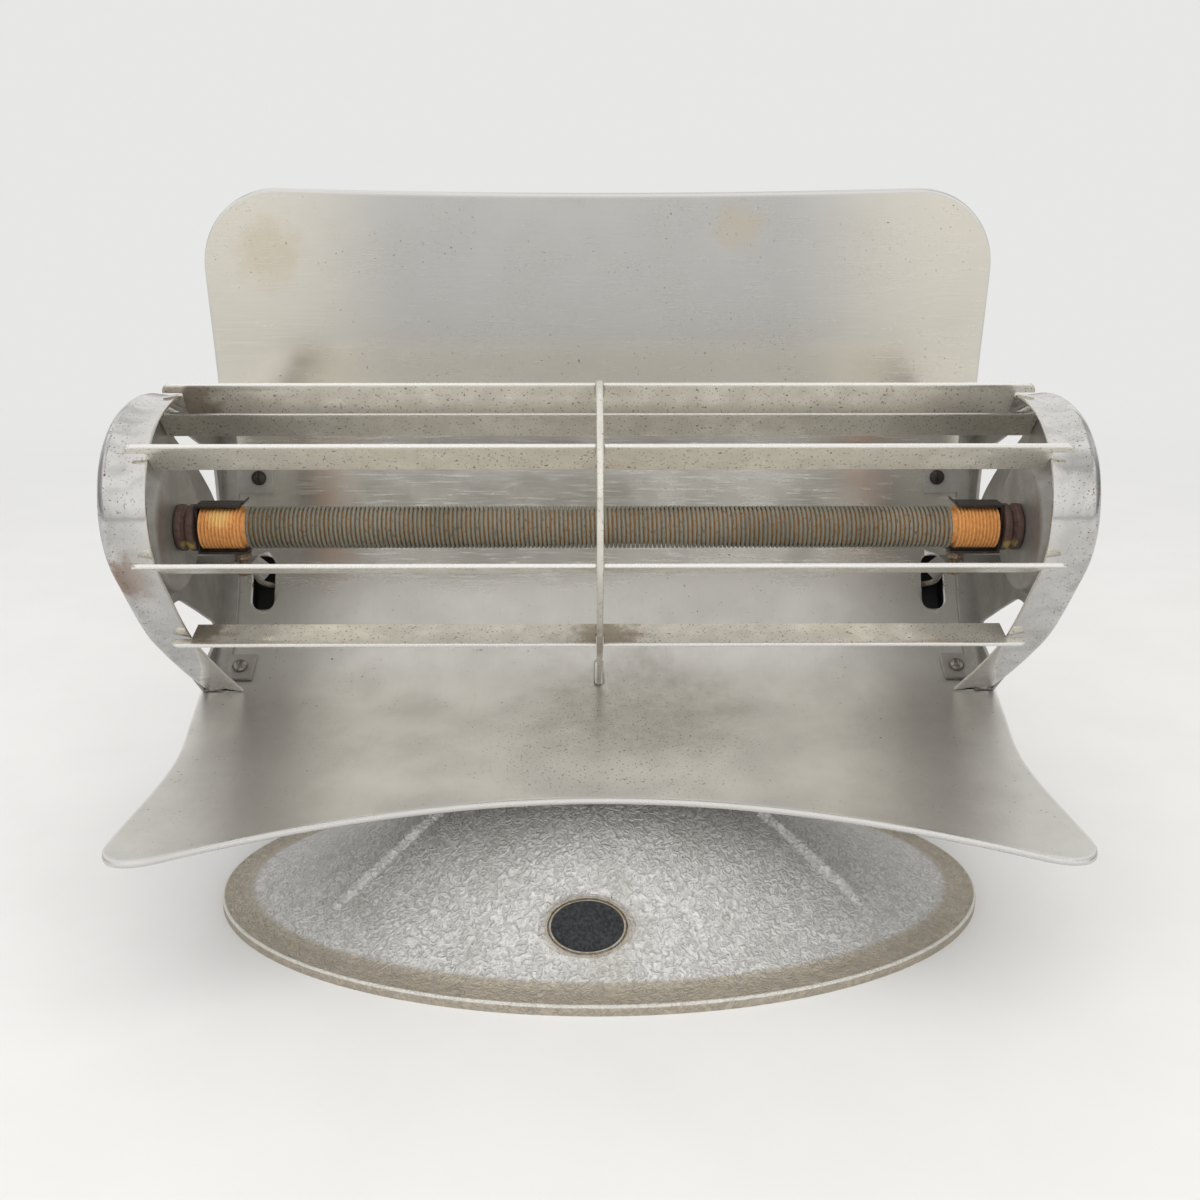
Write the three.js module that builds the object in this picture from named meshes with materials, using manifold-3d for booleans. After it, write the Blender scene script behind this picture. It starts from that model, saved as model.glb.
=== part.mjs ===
// Electric bar heater: a bright sheet reflector with a wound fireclay rod in front of it, a slatted
// guard held by two pressed end frames, and an oval cast base that carries the head on a tilt pivot.
// Millimetres. X runs to the right, Y to the rear and Z up. The origin is the middle of the base's
// oval, on the surface that the heater stands on.
import * as THREE from 'three';
import { mergeVertices } from 'three/addons/utils/BufferGeometryUtils.js';
import Module from 'manifold-3d';

const wasm = await Module();
wasm.setup();

// ---------------------------------------------------------------- driving dimensions
const SEAT_GAP = 0.3; // between pieces that sit on each other
const RUN_GAP = 0.6; // between pieces that move past each other
const CUT_OVER = 1; // how far a cutting tool reaches past the face it cuts
const HEAD_CROWN_RADIUS = 0.82; // share of a screw head's radius at its upper edge
const HEAD_CROWN_HEIGHT = 0.7; // share of a screw head's thickness at its upper edge
const SMALL_ROUND = 12; // steps round a small hole or shank
const LARGE_ROUND = 20;
const ROD_ROUND = 16;
const CAP_ROUND = 18;
const BOSS_ROUND = 28;
const LUG_ROUND = 24;

// base casting
const BASE_HALF_X = 151.7;
const BASE_HALF_Y = 85;
const RIM_WIDTH = 11;
const RIM_THICK = 4.6;
const RIM_EDGE_RADIUS = 1.2;
const RIM_EDGE_DROP = 0.6; // how far the eased edge lies below the rim's top
const RIM_SIDE_DROP = 1; // how much further down the upright side ends
const DOME_TOP_Z = 49;
const DOME_TOP_HALF_X = 44;
const DOME_TOP_HALF_Y = 25;
const DOME_WALL = 4;
const DOME_RINGS = 6;
const DOME_EASE = 0.045;
const OVAL_STEPS = 36;
const RIB_WIDTH = 5;
const RIB_HEIGHT = 2.6;
const RIB_TOP_SHARE = 0.55; // of its width
const RIB_ROOT = 2.4; // how deep it stands in the wall
const RIB_STEPS = 6;
const RIB_FADE = 4; // how steeply its outer end runs down
const RIB_END_SHARE = 0.15; // of its height, left at the outer end
const RIB_INNER = { x: 52, y: 9 };
const RIB_OUTER = { x: 102, y: 36 };

// bottom plate
const PLATE_THICK = 1.5;
const PLATE_LEDGE = 3; // the casting's step that the plate sits against
const PLATE_SCREW_X = 95;
const PLATE_BOSS_RADIUS = 6;
const PLATE_SCREW_RADIUS = 2;
const PLATE_SCREW_HEAD_RADIUS = 3.6;
const PLATE_SCREW_LENGTH = 9;
const PLATE_SCREW_SINK = 0.1; // the head's face above the underside

// badge
const BADGE_HALF_X = 14;
const BADGE_HALF_UP = 9.6;
const BADGE_THICK = 1.4;
const BADGE_X = -4.6;
const BADGE_SHARE = 0.33; // how far up the front of the dome its middle sits
const BADGE_PAD_WALL = 1.2;
const BADGE_PAD_RISE = 1.4;
const BADGE_TILT_STEP = 0.05; // the share of the dome over which its slope is taken
const BADGE_PAD_ROOT = 0.75; // how deep the pad stands in the wall, as a share of it
const BADGE_FLOOR = 0.2; // the recess' floor above the dome's skin

// tilt pivot
const PIVOT_Y = 12;
const PIVOT_Z = 57.5;
const PIVOT_BOLT_RADIUS = 3;
const LUG_RADIUS = 5.8;
const LUG_THICK = 6;
const LUG_INNER_X = 20;
const LUG_FLARE = 3; // how far the lug's foot spreads past its round
const LUG_ROOT = 1; // how far the foot stands up into the dome's top
const YOKE_THICK = 2;
const YOKE_HALF_Y = 17;
const YOKE_SLOPE = 4; // how far the arms' roots stay from the plate's ends
const PIVOT_FIT = 0.06;
const WASHER_THICK = 1.2;
const WASHER_RADIUS = 5.5;
const BOLT_HEAD_RADIUS = 5;
const BOLT_HEAD_THICK = 4;
const BOLT_HEAD_EASE = 1;
const BOLT_END = 2; // how far a bolt stands out of its nut
const PIVOT_NUT_THICK = 5;

// reflector sheet
const SHEET = 1;
const HEM_THICK = 2.5;
const HEM_WIDTH = 2.6;
const LIP_Y = -100;
const LIP_Z = 63;
const FLOOR_END_Y = 20;
const FLOOR_END_Z = 67.5;
const BEND_LOW_PULL = { y: 62, z: 69.5 };
const BEND_HIGH_PULL = { y: 84, z: 100 };
const WALL_START_Y = 89.5;
const WALL_START_Z = 160;
const TOP_Y = 92;
const TOP_Z = 273;
const WAIST_Y = -28; // where the floor is narrowest
const SEAT_Y = 43; // where the end frames' feet start
const WALL_Z = 180;
const FLARE_Z = 255; // from here up the wall keeps its top width
const LIP_HALF = 163.5;
const WAIST_HALF = 158.8;
const SEAT_HALF = 167.5;
const WALL_HALF = 163.8;
const TOP_HALF = 165.6;
const LIP_SWEEP = 49; // how far the lip is cut back at the middle
const TOP_SWEEP = 3;
const LIP_CORNER = 20;
const TOP_CORNER = 33;
const FLOOR_ROWS = 5;
const BEND_ROWS = 11;
const WALL_ROWS = 5;
const SHEET_COLUMNS = 6; // flat part, each side of the middle
const CORNER_COLUMNS = 4;
const SLOT_X = 148;
const SLOT_WIDTH = 9.7;
const SLOT_LENGTH = 24;
const SLOT_CORNER = 3.5;
const SLOT_Z = 106;

// element
const ELEMENT_Y = -5;
const ELEMENT_Z = 152;
const ROD_HALF = 145.2;
const ROD_RADIUS = 7.8;
const ROD_BORE = 3.4;
const ROD_BARE_END = 15.4; // unwound and ribbed
const ROD_RIBS = 5;
const RIB_DEPTH = 0.7;
const RIB_STATIONS = { foot: 0.15, top: 0.4, end: 0.8 }; // shares of a rib's pitch
const WIRE_RADIUS = 0.95;
const WINDING_TURNS = 40;
const TURN_STEPS = 8;
const WIRE_SIDES = 5;
const WINDING_RADIUS = 7.0; // to the middle of the wire
const WINDING_END_GAP = 1.2;

// insulating end caps, clips and terminals
const CAP_RADIUS = 8.6;
const CAP_WAIST_RADIUS = 7.3;
const CAP_EDGE = 0.8;
const CAP_GROOVE = { start: -0.9, floor: -0.4, rise: 0.6, end: 1.1 }; // from the cap's middle
const CLIP_SHEET = 0.9;
const CLIP_WIDTH = 9;
const CLIP_ARM = 17;
const CLIP_LIFT = 0.4;
const CLIP_TIP_FLARE = 1.6;
const CLIP_HOLE_LENGTH = 6; // of the tool that cuts the screw's hole
const CAP_BOLT_RADIUS = 1.7;
const CAP_BOLT_HEAD = 2.9;
const CAP_BOLT_HEAD_THICK = 2;
const CAP_NUT_RADIUS = 3.6;
const CAP_NUT_THICK = 2.6;
const TERMINAL_RADIUS = 1.6;
const TERMINAL_HEAD = 3;
const TERMINAL_HEAD_THICK = 2;
const TERMINAL_NUT_RADIUS = 3.3;
const TERMINAL_NUT_THICK = 2.2;
const TERMINAL_INSET = 2.9; // from the arm's tip
const TERMINAL_DROP = 9;
const TERMINAL_PROUD = 0.2; // the screw's end above the arm
const SHIELD_TOP_Z = 131;
const SHIELD_REAR_Y = 32;
const SHIELD_DEPTH = 16.5;
const SHIELD_SHEET = 1;
const SHIELD_FLANGE = 9; // down the end frame's web
const SHIELD_FOLD = { out: 6, down: 5 }; // the slanted part towards the rod's middle
const SHIELD_TIP = { out: 0.6, fold: 0.4 }; // how the sheet's thickness shows at the slant

// end frames
const FRAME_SHEET = 1.4;
const FRAME_OUTER_X = 166.5;
const BAND_INNER_X = 149.3;
const BAND_BEND = 4;
const BAND_BEND_CUT = 0.3; // share of the bend at which its middle corner lies
const WEB_LAP = 0.2; // how far the web reaches into the band's bend
const BAND_STEPS = 22;
const BOSS_DEPTH = 11.4;
const BOSS_PLATEAU = 23;
const BOSS_FOOT = 28.5;
const BOSS_LAP = 2; // how far its foot lies in the web
const FOOT_WIDTH = 8;
const TAB_WIDTH = 14;
const TAB_SHIFT = 1; // how far a tab's inner end is drawn back towards the web
const UPPER_SCREW_X = 149;
const UPPER_SCREW_Z = 151;
const LOWER_SCREW_X = 153.5;
const LOWER_SCREW_Y = 50;
const SCREW_RADIUS = 1.8;
const SCREW_HEAD_RADIUS = 3.2;
const SCREW_HEAD_THICK = 1.9;
const SCREW_LENGTH = 8;
const NUT_RADIUS = 3.4;
const NUT_THICK = 2.6;

// guard: each blade's outer edge in (Y, Z) and the direction, in degrees, in which it points inwards
const TOP_BLADE = { y: -2.7, z: 203.9, inward: -61 };
const UPPER_BLADE = { y: -45.5, z: 189.6, inward: -46.6 };
const LOWER_BLADE = { y: -51, z: 150.4, inward: -24 };
const BOTTOM_BLADE = { y: -22.4, z: 112, inward: 16.5 };
const RAIL = { y: 15.6, z: 190.6, inward: -48 };
const BLADE_HALF = 156;
const BLADE_WIDTH = 13;
const BLADE_THICK = 1.6;
const BLADE_END_RADIUS = 3.6;
const BLADE_OVERHANG = 3.8; // the part that lies over the band
const TIE_THICK = 2.3;
const TIE_DEPTH = 6;
const TIE_PROUD = 1.2;
const TIE_NOTCH_EASE = 1.6; // how much deeper a blade's notch is than the tie
const TIE_FOOT_Y = 48;
const TIE_START = { back: 4.2, drop: 0.6 }; // its upper end, from the top blade
const TIE_FOOT_DROP = 3; // below the reflector's back
const RAIL_HALF = FRAME_OUTER_X - FRAME_SHEET - SEAT_GAP; // its ends butt against the end frames

// rear cover and wiring
const COVER_HALF_X = 158;
const COVER_WALL = 1;
const COVER_LOW_Z = 86;
const COVER_HIGH_Z = 128;
const COVER_DEPTH = 16;
const COVER_TOP_CORNER = { y: 5, z: 6 };
const COVER_LOW_CORNER = { y: 7, z: 9 };
const COVER_FLANGE = 2; // what is left of the cover's open side round its mouth
const COVER_EAR_HALF = 6;
const COVER_EAR_RISE = 5; // above the screw
const COVER_EAR_LAP = 1; // into the cover's top
const COVER_SCREW_X = 60;
const COVER_SCREW_END = 0.3; // the screw's point stands this far out of the bright face
const BLOCK_LENGTH = 32;
const BLOCK_HEIGHT = 13;
const BLOCK_DEPTH = 8;
const BLOCK_WAY = 4;
const BLOCK_ABOVE_SLOT = 3;
const INLET_Z = 103;
const INLET_X = 40;
const INLET_RADIUS = 6;
const INLET_HOLE = 3.8;
const INLET_FLANGE = 8.2;
const INLET_INSIDE = 6; // how far the bush reaches into the cover
const INLET_OUTSIDE = 4;
const INLET_TAPER = 0.86;
const INLET_CUT = 20; // length of the tool that cuts its hole
const LEAD_RADIUS = 1.2;
const LEAD_SIDES = 8;
const LEAD_STEPS = 24;

// ---------------------------------------------------------------- finishes
const finish = (color, roughness, metalness) =>
  new THREE.MeshStandardMaterial({ color, roughness, metalness });
const BRIGHT_SHEET = finish(0xbfbdb4, 0.28, 1);
const BLADE_METAL = finish(0xb8b6ad, 0.35, 1);
const CHROME = finish(0xcfcfcd, 0.15, 1);
const HAMMERED = finish(0xb4b3ad, 0.45, 0.7);
const FIRECLAY = finish(0xd99a4e, 0.85, 0);
const WOUND_WIRE = finish(0x6e6a5a, 0.7, 0.6);
const BROWN_CERAMIC = finish(0x4a3a34, 0.8, 0);
const BLACK_STEEL = finish(0x2a2724, 0.6, 0.8);
const DULL_STEEL = finish(0x77736b, 0.5, 0.9);
const ZINC_SHEET = finish(0x8f8f8a, 0.45, 0.9);
const BARE_PLATE = finish(0x2b2c2e, 0.4, 0.5);
const WIRE_SLEEVE = finish(0xc9bf9a, 0.8, 0);
const RUBBER = finish(0x1c1c1c, 0.9, 0);

// ---------------------------------------------------------------- solids
function welded(geometry) {
  const bare = geometry.clone();
  bare.deleteAttribute('normal');
  bare.deleteAttribute('uv');
  return mergeVertices(bare, 1e-4);
}

function closedBody(geometry, triangles) {
  return new wasm.Manifold(new wasm.Mesh({
    numProp: 3,
    vertProperties: new Float32Array(geometry.attributes.position.array),
    triVerts: new Uint32Array(triangles),
  }));
}

// A closed geometry as a solid whose faces point out, whichever way its triangles were wound.
function toSolid(geometry) {
  const merged = welded(geometry);
  const index = merged.index.array;
  const kept = [];
  for (let i = 0; i < index.length; i += 3) {
    const [a, b, c] = [index[i], index[i + 1], index[i + 2]];
    if (a !== b && b !== c && c !== a) kept.push(a, b, c);
  }
  const solid = closedBody(merged, kept);
  return solid.volume() > 0 ? solid : closedBody(merged, kept.reverse());
}

function toGeometry(solid) {
  const mesh = solid.getMesh();
  const geometry = new THREE.BufferGeometry();
  geometry.setAttribute('position', new THREE.BufferAttribute(new Float32Array(mesh.vertProperties), 3));
  geometry.setIndex(new THREE.BufferAttribute(new Uint32Array(mesh.triVerts), 1));
  geometry.computeVertexNormals();
  return geometry;
}

function joined(...solids) {
  return solids.reduce((whole, next) => whole.add(next));
}

function cutFrom(body, ...tools) {
  return tools.reduce((whole, tool) => whole.subtract(tool), body);
}

function piece(name, solid, material) {
  const mesh = new THREE.Mesh(toGeometry(solid), material);
  mesh.name = name;
  return mesh;
}

// An outline drawn in (Y, Z), extruded from one X to another.
function plateAcross(outline, fromX, toX) {
  const shape = new THREE.Shape(outline);
  const low = Math.min(fromX, toX);
  const geometry = new THREE.ExtrudeGeometry(shape, {
    depth: Math.abs(toX - fromX),
    bevelEnabled: false,
    steps: 1,
  });
  const turn = new THREE.Matrix4().makeBasis(
    new THREE.Vector3(0, 1, 0),
    new THREE.Vector3(0, 0, 1),
    new THREE.Vector3(1, 0, 0),
  );
  geometry.applyMatrix4(turn);
  geometry.translate(low, 0, 0);
  return toSolid(geometry);
}

// A profile of [distance along X, radius] turned about an X axis line at (y, z).
function turnedAcross(profile, y, z, steps = 20) {
  const points = profile.map(([along, radius]) => new THREE.Vector2(radius, along));
  const geometry = new THREE.LatheGeometry(points, steps);
  geometry.rotateZ(-Math.PI / 2);
  geometry.translate(0, y, z);
  return toSolid(geometry);
}

// A profile of [radius, height] turned about +Z at the origin.
function turnedUp(profile, steps = 16) {
  const points = profile.map(([radius, height]) => new THREE.Vector2(radius, height));
  const geometry = new THREE.LatheGeometry(points, steps);
  geometry.rotateX(Math.PI / 2);
  return toSolid(geometry);
}

function rod(radius, length, steps = 16) {
  return turnedUp([[0, 0], [radius, 0], [radius, length], [0, length]], steps);
}

function roundedRectangle(halfU, halfV, corner) {
  const shape = new THREE.Shape();
  shape.moveTo(-halfU + corner, -halfV);
  shape.lineTo(halfU - corner, -halfV);
  shape.absarc(halfU - corner, -halfV + corner, corner, -Math.PI / 2, 0);
  shape.lineTo(halfU, halfV - corner);
  shape.absarc(halfU - corner, halfV - corner, corner, 0, Math.PI / 2);
  shape.lineTo(-halfU + corner, halfV);
  shape.absarc(-halfU + corner, halfV - corner, corner, Math.PI / 2, Math.PI);
  shape.lineTo(-halfU, -halfV + corner);
  shape.absarc(-halfU + corner, -halfV + corner, corner, Math.PI, Math.PI * 1.5);
  return shape;
}

function placed(solid, { x = 0, y = 0, z = 0, aboutX = 0 }) {
  return solid.rotate([THREE.MathUtils.radToDeg(aboutX), 0, 0]).translate([x, y, z]);
}

function box(sizeX, sizeY, sizeZ) {
  return toSolid(new THREE.BoxGeometry(sizeX, sizeY, sizeZ));
}

const SIDES = [
  { name: 'left', sign: -1 },
  { name: 'right', sign: 1 },
];

function mirroredTo(sign, solid) {
  return sign > 0 ? solid : solid.mirror([1, 0, 0]);
}

// ---------------------------------------------------------------- reflector section
// The section runs from the lip, along the floor, round the bend and up the wall.
const bendPoints = new THREE.CubicBezierCurve(
  new THREE.Vector2(FLOOR_END_Y, FLOOR_END_Z),
  new THREE.Vector2(BEND_LOW_PULL.y, BEND_LOW_PULL.z),
  new THREE.Vector2(BEND_HIGH_PULL.y, BEND_HIGH_PULL.z),
  new THREE.Vector2(WALL_START_Y, WALL_START_Z),
).getSpacedPoints(BEND_ROWS);
const sectionCorners = [new THREE.Vector2(LIP_Y, LIP_Z), ...bendPoints, new THREE.Vector2(TOP_Y, TOP_Z)];
const reflectorSection = new THREE.CurvePath();
sectionCorners.slice(1).forEach((corner, i) => {
  reflectorSection.add(new THREE.LineCurve(sectionCorners[i], corner));
});
const SECTION_LENGTH = reflectorSection.getLength();
const CORNER_S = reflectorSection.getCurveLengths().slice(0, -1);
const BEND_START_S = CORNER_S[0];
const BEND_END_S = CORNER_S[CORNER_S.length - 1];

// A point of the section at arc length s, moved off the bright face by a distance.
function sectionPoint(s, off = 0) {
  const share = THREE.MathUtils.clamp(s / SECTION_LENGTH, 0, 1);
  const point = reflectorSection.getPoint(share);
  const tangent = reflectorSection.getTangent(share);
  return new THREE.Vector2(point.x - tangent.y * off, point.y + tangent.x * off);
}

// The arc length where the section's Y, or its Z, first reaches a value.
function sectionAt(axis, value) {
  let low = 0;
  let high = SECTION_LENGTH;
  for (let i = 0; i < 40; i += 1) {
    const middle = (low + high) / 2;
    if (sectionPoint(middle)[axis] < value) low = middle;
    else high = middle;
  }
  return low;
}

// The section's points from one arc length to another, with every corner between them.
function sectionRun(fromS, toS, off) {
  const [low, high] = [Math.min(fromS, toS), Math.max(fromS, toS)];
  const between = CORNER_S.filter((s) => s > low + SEAT_GAP && s < high - SEAT_GAP);
  const run = [low, ...between, high].map((s) => sectionPoint(s, off));
  return fromS < toS ? run : run.reverse();
}

function spread(from, to, steps) {
  return Array.from({ length: steps + 1 }, (_, i) => THREE.MathUtils.lerp(from, to, i / steps));
}

function sectionTilt(s) {
  const tangent = reflectorSection.getTangent(s / SECTION_LENGTH);
  return Math.atan2(tangent.y, tangent.x);
}

// ---------------------------------------------------------------- reflector
const WIDTH_STATIONS = [
  { s: 0, half: LIP_HALF },
  { s: sectionAt('x', WAIST_Y), half: WAIST_HALF },
  { s: sectionAt('x', SEAT_Y), half: SEAT_HALF },
  { s: sectionAt('y', WALL_Z), half: WALL_HALF },
  { s: sectionAt('y', FLARE_Z), half: TOP_HALF },
  { s: SECTION_LENGTH, half: TOP_HALF },
];

function reflectorHalf(s) {
  for (let i = 1; i < WIDTH_STATIONS.length; i += 1) {
    const low = WIDTH_STATIONS[i - 1];
    const high = WIDTH_STATIONS[i];
    if (s <= high.s) {
      const share = THREE.MathUtils.smoothstep(s, low.s, high.s);
      return THREE.MathUtils.lerp(low.half, high.half, share);
    }
  }
  return TOP_HALF;
}

function cornerInset(fromEdge, corner) {
  const reach = Math.max(corner - fromEdge, 0);
  return corner - Math.sqrt(Math.max(corner * corner - reach * reach, 0));
}

// Column positions from the middle to the edge as shares of the half width, closer in the corner.
function columnShares() {
  const flatShare = 1 - TOP_CORNER / TOP_HALF;
  const shares = [0];
  for (let i = 1; i <= SHEET_COLUMNS; i += 1) shares.push((i / SHEET_COLUMNS) * flatShare);
  for (let i = 1; i <= CORNER_COLUMNS; i += 1) {
    const turn = (i / CORNER_COLUMNS) * (Math.PI / 2);
    shares.push(flatShare + (1 - flatShare) * Math.sin(turn));
  }
  return [...shares.slice(1).reverse().map((share) => -share), ...shares];
}

function hemBack(fromEdge) {
  const share = 1 - THREE.MathUtils.smoothstep(fromEdge, HEM_WIDTH * 0.5, HEM_WIDTH);
  return THREE.MathUtils.lerp(SHEET, HEM_THICK, share);
}

// One column of the sheet, from the lip's edge to the top edge, with a close row inside each hem.
function sheetColumn(share) {
  const fromSide = TOP_HALF * (1 - Math.abs(share));
  const bow = 1 - share * share;
  const startS = LIP_SWEEP * bow + cornerInset(fromSide, LIP_CORNER);
  const endS = SECTION_LENGTH - TOP_SWEEP * bow - cornerInset(fromSide, TOP_CORNER);
  const stations = [
    startS,
    startS + HEM_WIDTH / 2,
    ...spread(startS + HEM_WIDTH, BEND_START_S, FLOOR_ROWS),
    ...spread(BEND_START_S, BEND_END_S, BEND_ROWS).slice(1),
    ...spread(BEND_END_S, endS - HEM_WIDTH, WALL_ROWS).slice(1),
    endS - HEM_WIDTH / 2,
    endS,
  ];
  return stations.map((s) => ({
    x: share * reflectorHalf(s),
    s,
    back: hemBack(Math.min(s - startS, endS - s)),
  }));
}

function gridSolid(columns, rows, pointAt) {
  const positions = [];
  const index = [];
  const at = (face, i, j) => (face * columns + i) * rows + j;
  for (let face = 0; face < 2; face += 1) {
    for (let i = 0; i < columns; i += 1) {
      for (let j = 0; j < rows; j += 1) positions.push(...pointAt(face, i, j));
    }
  }
  const quad = (a, b, c, d) => index.push(a, b, c, a, c, d);
  for (let i = 0; i + 1 < columns; i += 1) {
    for (let j = 0; j + 1 < rows; j += 1) {
      quad(at(0, i, j), at(0, i + 1, j), at(0, i + 1, j + 1), at(0, i, j + 1));
      quad(at(1, i, j), at(1, i, j + 1), at(1, i + 1, j + 1), at(1, i + 1, j));
    }
    quad(at(0, i, 0), at(1, i, 0), at(1, i + 1, 0), at(0, i + 1, 0));
    quad(at(0, i, rows - 1), at(0, i + 1, rows - 1), at(1, i + 1, rows - 1), at(1, i, rows - 1));
  }
  const last = columns - 1;
  for (let j = 0; j + 1 < rows; j += 1) {
    quad(at(0, 0, j), at(0, 0, j + 1), at(1, 0, j + 1), at(1, 0, j));
    quad(at(0, last, j), at(1, last, j), at(1, last, j + 1), at(0, last, j + 1));
  }
  const geometry = new THREE.BufferGeometry();
  geometry.setAttribute('position', new THREE.BufferAttribute(new Float32Array(positions), 3));
  geometry.setIndex(index);
  return toSolid(geometry);
}

function reflectorSheet() {
  const columns = columnShares().map(sheetColumn);
  return gridSolid(columns.length, columns[0].length, (face, i, j) => {
    const { x, s, back } = columns[i][j];
    const point = sectionPoint(s, face === 0 ? 0 : -back);
    return [x, point.x, point.y];
  });
}

function slotCutter(sign) {
  const s = sectionAt('y', SLOT_Z);
  const centre = sectionPoint(s);
  const geometry = new THREE.ExtrudeGeometry(
    roundedRectangle(SLOT_WIDTH / 2, SLOT_LENGTH / 2, SLOT_CORNER),
    { depth: SHEET * 12, bevelEnabled: false, curveSegments: 5 },
  );
  geometry.translate(0, 0, -SHEET * 6);
  geometry.rotateX(sectionTilt(s));
  geometry.translate(sign * SLOT_X, centre.x, centre.y);
  return toSolid(geometry);
}

// A fastener's place: its point on the bright face and the direction that its head faces.
function faceSeat(x, s, off) {
  const point = sectionPoint(s, off);
  return { x, y: point.x, z: point.y, aboutX: sectionTilt(s) };
}

const UPPER_SCREW_S = sectionAt('y', UPPER_SCREW_Z);
const LOWER_SCREW_S = sectionAt('x', LOWER_SCREW_Y);
const FRAME_SCREWS = [
  { name: 'upper', x: UPPER_SCREW_X, s: UPPER_SCREW_S },
  { name: 'lower', x: LOWER_SCREW_X, s: LOWER_SCREW_S },
];
const BACK_OFF = -SHEET - SEAT_GAP;
const FOOT_OFF = SEAT_GAP;
const FOOT_TOP = FOOT_OFF + FRAME_SHEET;

function screwHole(sign, screw) {
  const reach = SCREW_LENGTH;
  const hole = rod(SCREW_RADIUS + SEAT_GAP, reach * 2, SMALL_ROUND).translate([0, 0, -reach]);
  return placed(hole, faceSeat(sign * screw.x, screw.s, 0));
}

const COVER_SCREW_S = sectionAt('y', COVER_HIGH_Z + 4);
const TIE_FOOT_S = sectionAt('x', TIE_FOOT_Y);

function reflector() {
  const holes = SIDES.flatMap(({ sign }) => [
    slotCutter(sign),
    ...FRAME_SCREWS.map((screw) => screwHole(sign, screw)),
    coverScrewHole(sign),
  ]);
  return cutFrom(reflectorSheet(), ...holes, tieFootSlot());
}

// ---------------------------------------------------------------- end frames
// The band's outline in (Y, Z), from its foot on the reflector's floor, forward and up, over the
// element and back down to the wall.
const BAND_FOOT_S = sectionAt('x', 37);
const BAND_TOP_S = sectionAt('y', 176);
const bandCurve = new THREE.CatmullRomCurve3([
  [14, 87],
  [-4.6, 101.6],
  [-18.8, 114.2],
  [-35.2, 135],
  [-45, 150],
  [-47.5, 165],
  [-41.5, 183],
  [-28.5, 194],
  [-12, 199],
  [4, 199.6],
  [20, 196.4],
  [42, 189.5],
  [66, 182],
].map(([y, z]) => new THREE.Vector3(0, y, z)));

function bandOutline(inset) {
  const foot = sectionPoint(BAND_FOOT_S, FOOT_OFF);
  const top = sectionPoint(BAND_TOP_S, FOOT_OFF);
  const middle = bandCurve.getSpacedPoints(BAND_STEPS).map((p) => new THREE.Vector2(p.y, p.z));
  const line = [foot, ...middle, top];
  return line.map((point, i) => {
    const before = line[Math.max(i - 1, 0)];
    const after = line[Math.min(i + 1, line.length - 1)];
    const along = after.clone().sub(before).normalize();
    return new THREE.Vector2(point.x + along.y * inset, point.y - along.x * inset);
  });
}

// Ends of an inset outline are carried to the reflector's face, so that the web seats along it.
function webOutline(inset) {
  const upper = bandOutline(inset);
  const seat = sectionRun(BAND_TOP_S, BAND_FOOT_S, FOOT_OFF);
  return [...upper.slice(1, -1), ...seat];
}

function circlePoints(y, z, radius, steps) {
  const points = [];
  for (let i = 0; i < steps; i += 1) {
    const turn = (i / steps) * Math.PI * 2;
    points.push(new THREE.Vector2(y + radius * Math.cos(turn), z + radius * Math.sin(turn)));
  }
  return points;
}

const toPoints = (pairs) => pairs.map(([y, z]) => new THREE.Vector2(y, z));

const UPPER_OPENING = toPoints([
  [31, 179.5], [36, 181.5], [46, 178.5], [60, 172], [74, 166], [80, 160],
  [80.5, 150], [80, 138], [77, 139], [70, 148.5], [57.5, 160.5], [42, 171.5],
]);
const LOWER_OPENING = toPoints([
  [4, 117], [18, 117.5], [38, 106], [58, 94], [60, 89], [56, 85.5], [45, 82], [38, 82], [22, 93], [10, 104],
]);

// The triangles that close an end of the band's section, by its corners.
const BAND_END = [[0, 1, 5], [0, 5, 6], [1, 2, 4], [1, 4, 5], [2, 3, 4]];

// The band's section is swept along the outline: a flange that turns into the web round a bend.
function bandRing() {
  const count = BAND_STEPS + 3;
  const section = [
    { x: BAND_INNER_X, inset: 0 },
    { x: FRAME_OUTER_X - BAND_BEND, inset: 0 },
    { x: FRAME_OUTER_X - BAND_BEND * BAND_BEND_CUT, inset: BAND_BEND * BAND_BEND_CUT },
    { x: FRAME_OUTER_X, inset: BAND_BEND },
    { x: FRAME_OUTER_X - FRAME_SHEET, inset: BAND_BEND },
    { x: FRAME_OUTER_X - BAND_BEND, inset: FRAME_SHEET },
    { x: BAND_INNER_X, inset: FRAME_SHEET },
  ];
  const rings = section.map(({ inset }) => bandOutline(inset));
  const positions = [];
  for (let i = 0; i < count; i += 1) {
    section.forEach(({ x }, k) => positions.push(x, rings[k][i].x, rings[k][i].y));
  }
  const sides = section.length;
  const index = [];
  for (let i = 0; i + 1 < count; i += 1) {
    for (let k = 0; k < sides; k += 1) {
      const next = (k + 1) % sides;
      const [a, b] = [i * sides + k, i * sides + next];
      index.push(a, b, b + sides, a, b + sides, a + sides);
    }
  }
  const last = (count - 1) * sides;
  for (const [a, b, c] of BAND_END) {
    index.push(a, c, b);
    index.push(last + a, last + b, last + c);
  }
  const geometry = new THREE.BufferGeometry();
  geometry.setAttribute('position', new THREE.BufferAttribute(new Float32Array(positions), 3));
  geometry.setIndex(index);
  return toSolid(geometry);
}

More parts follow.
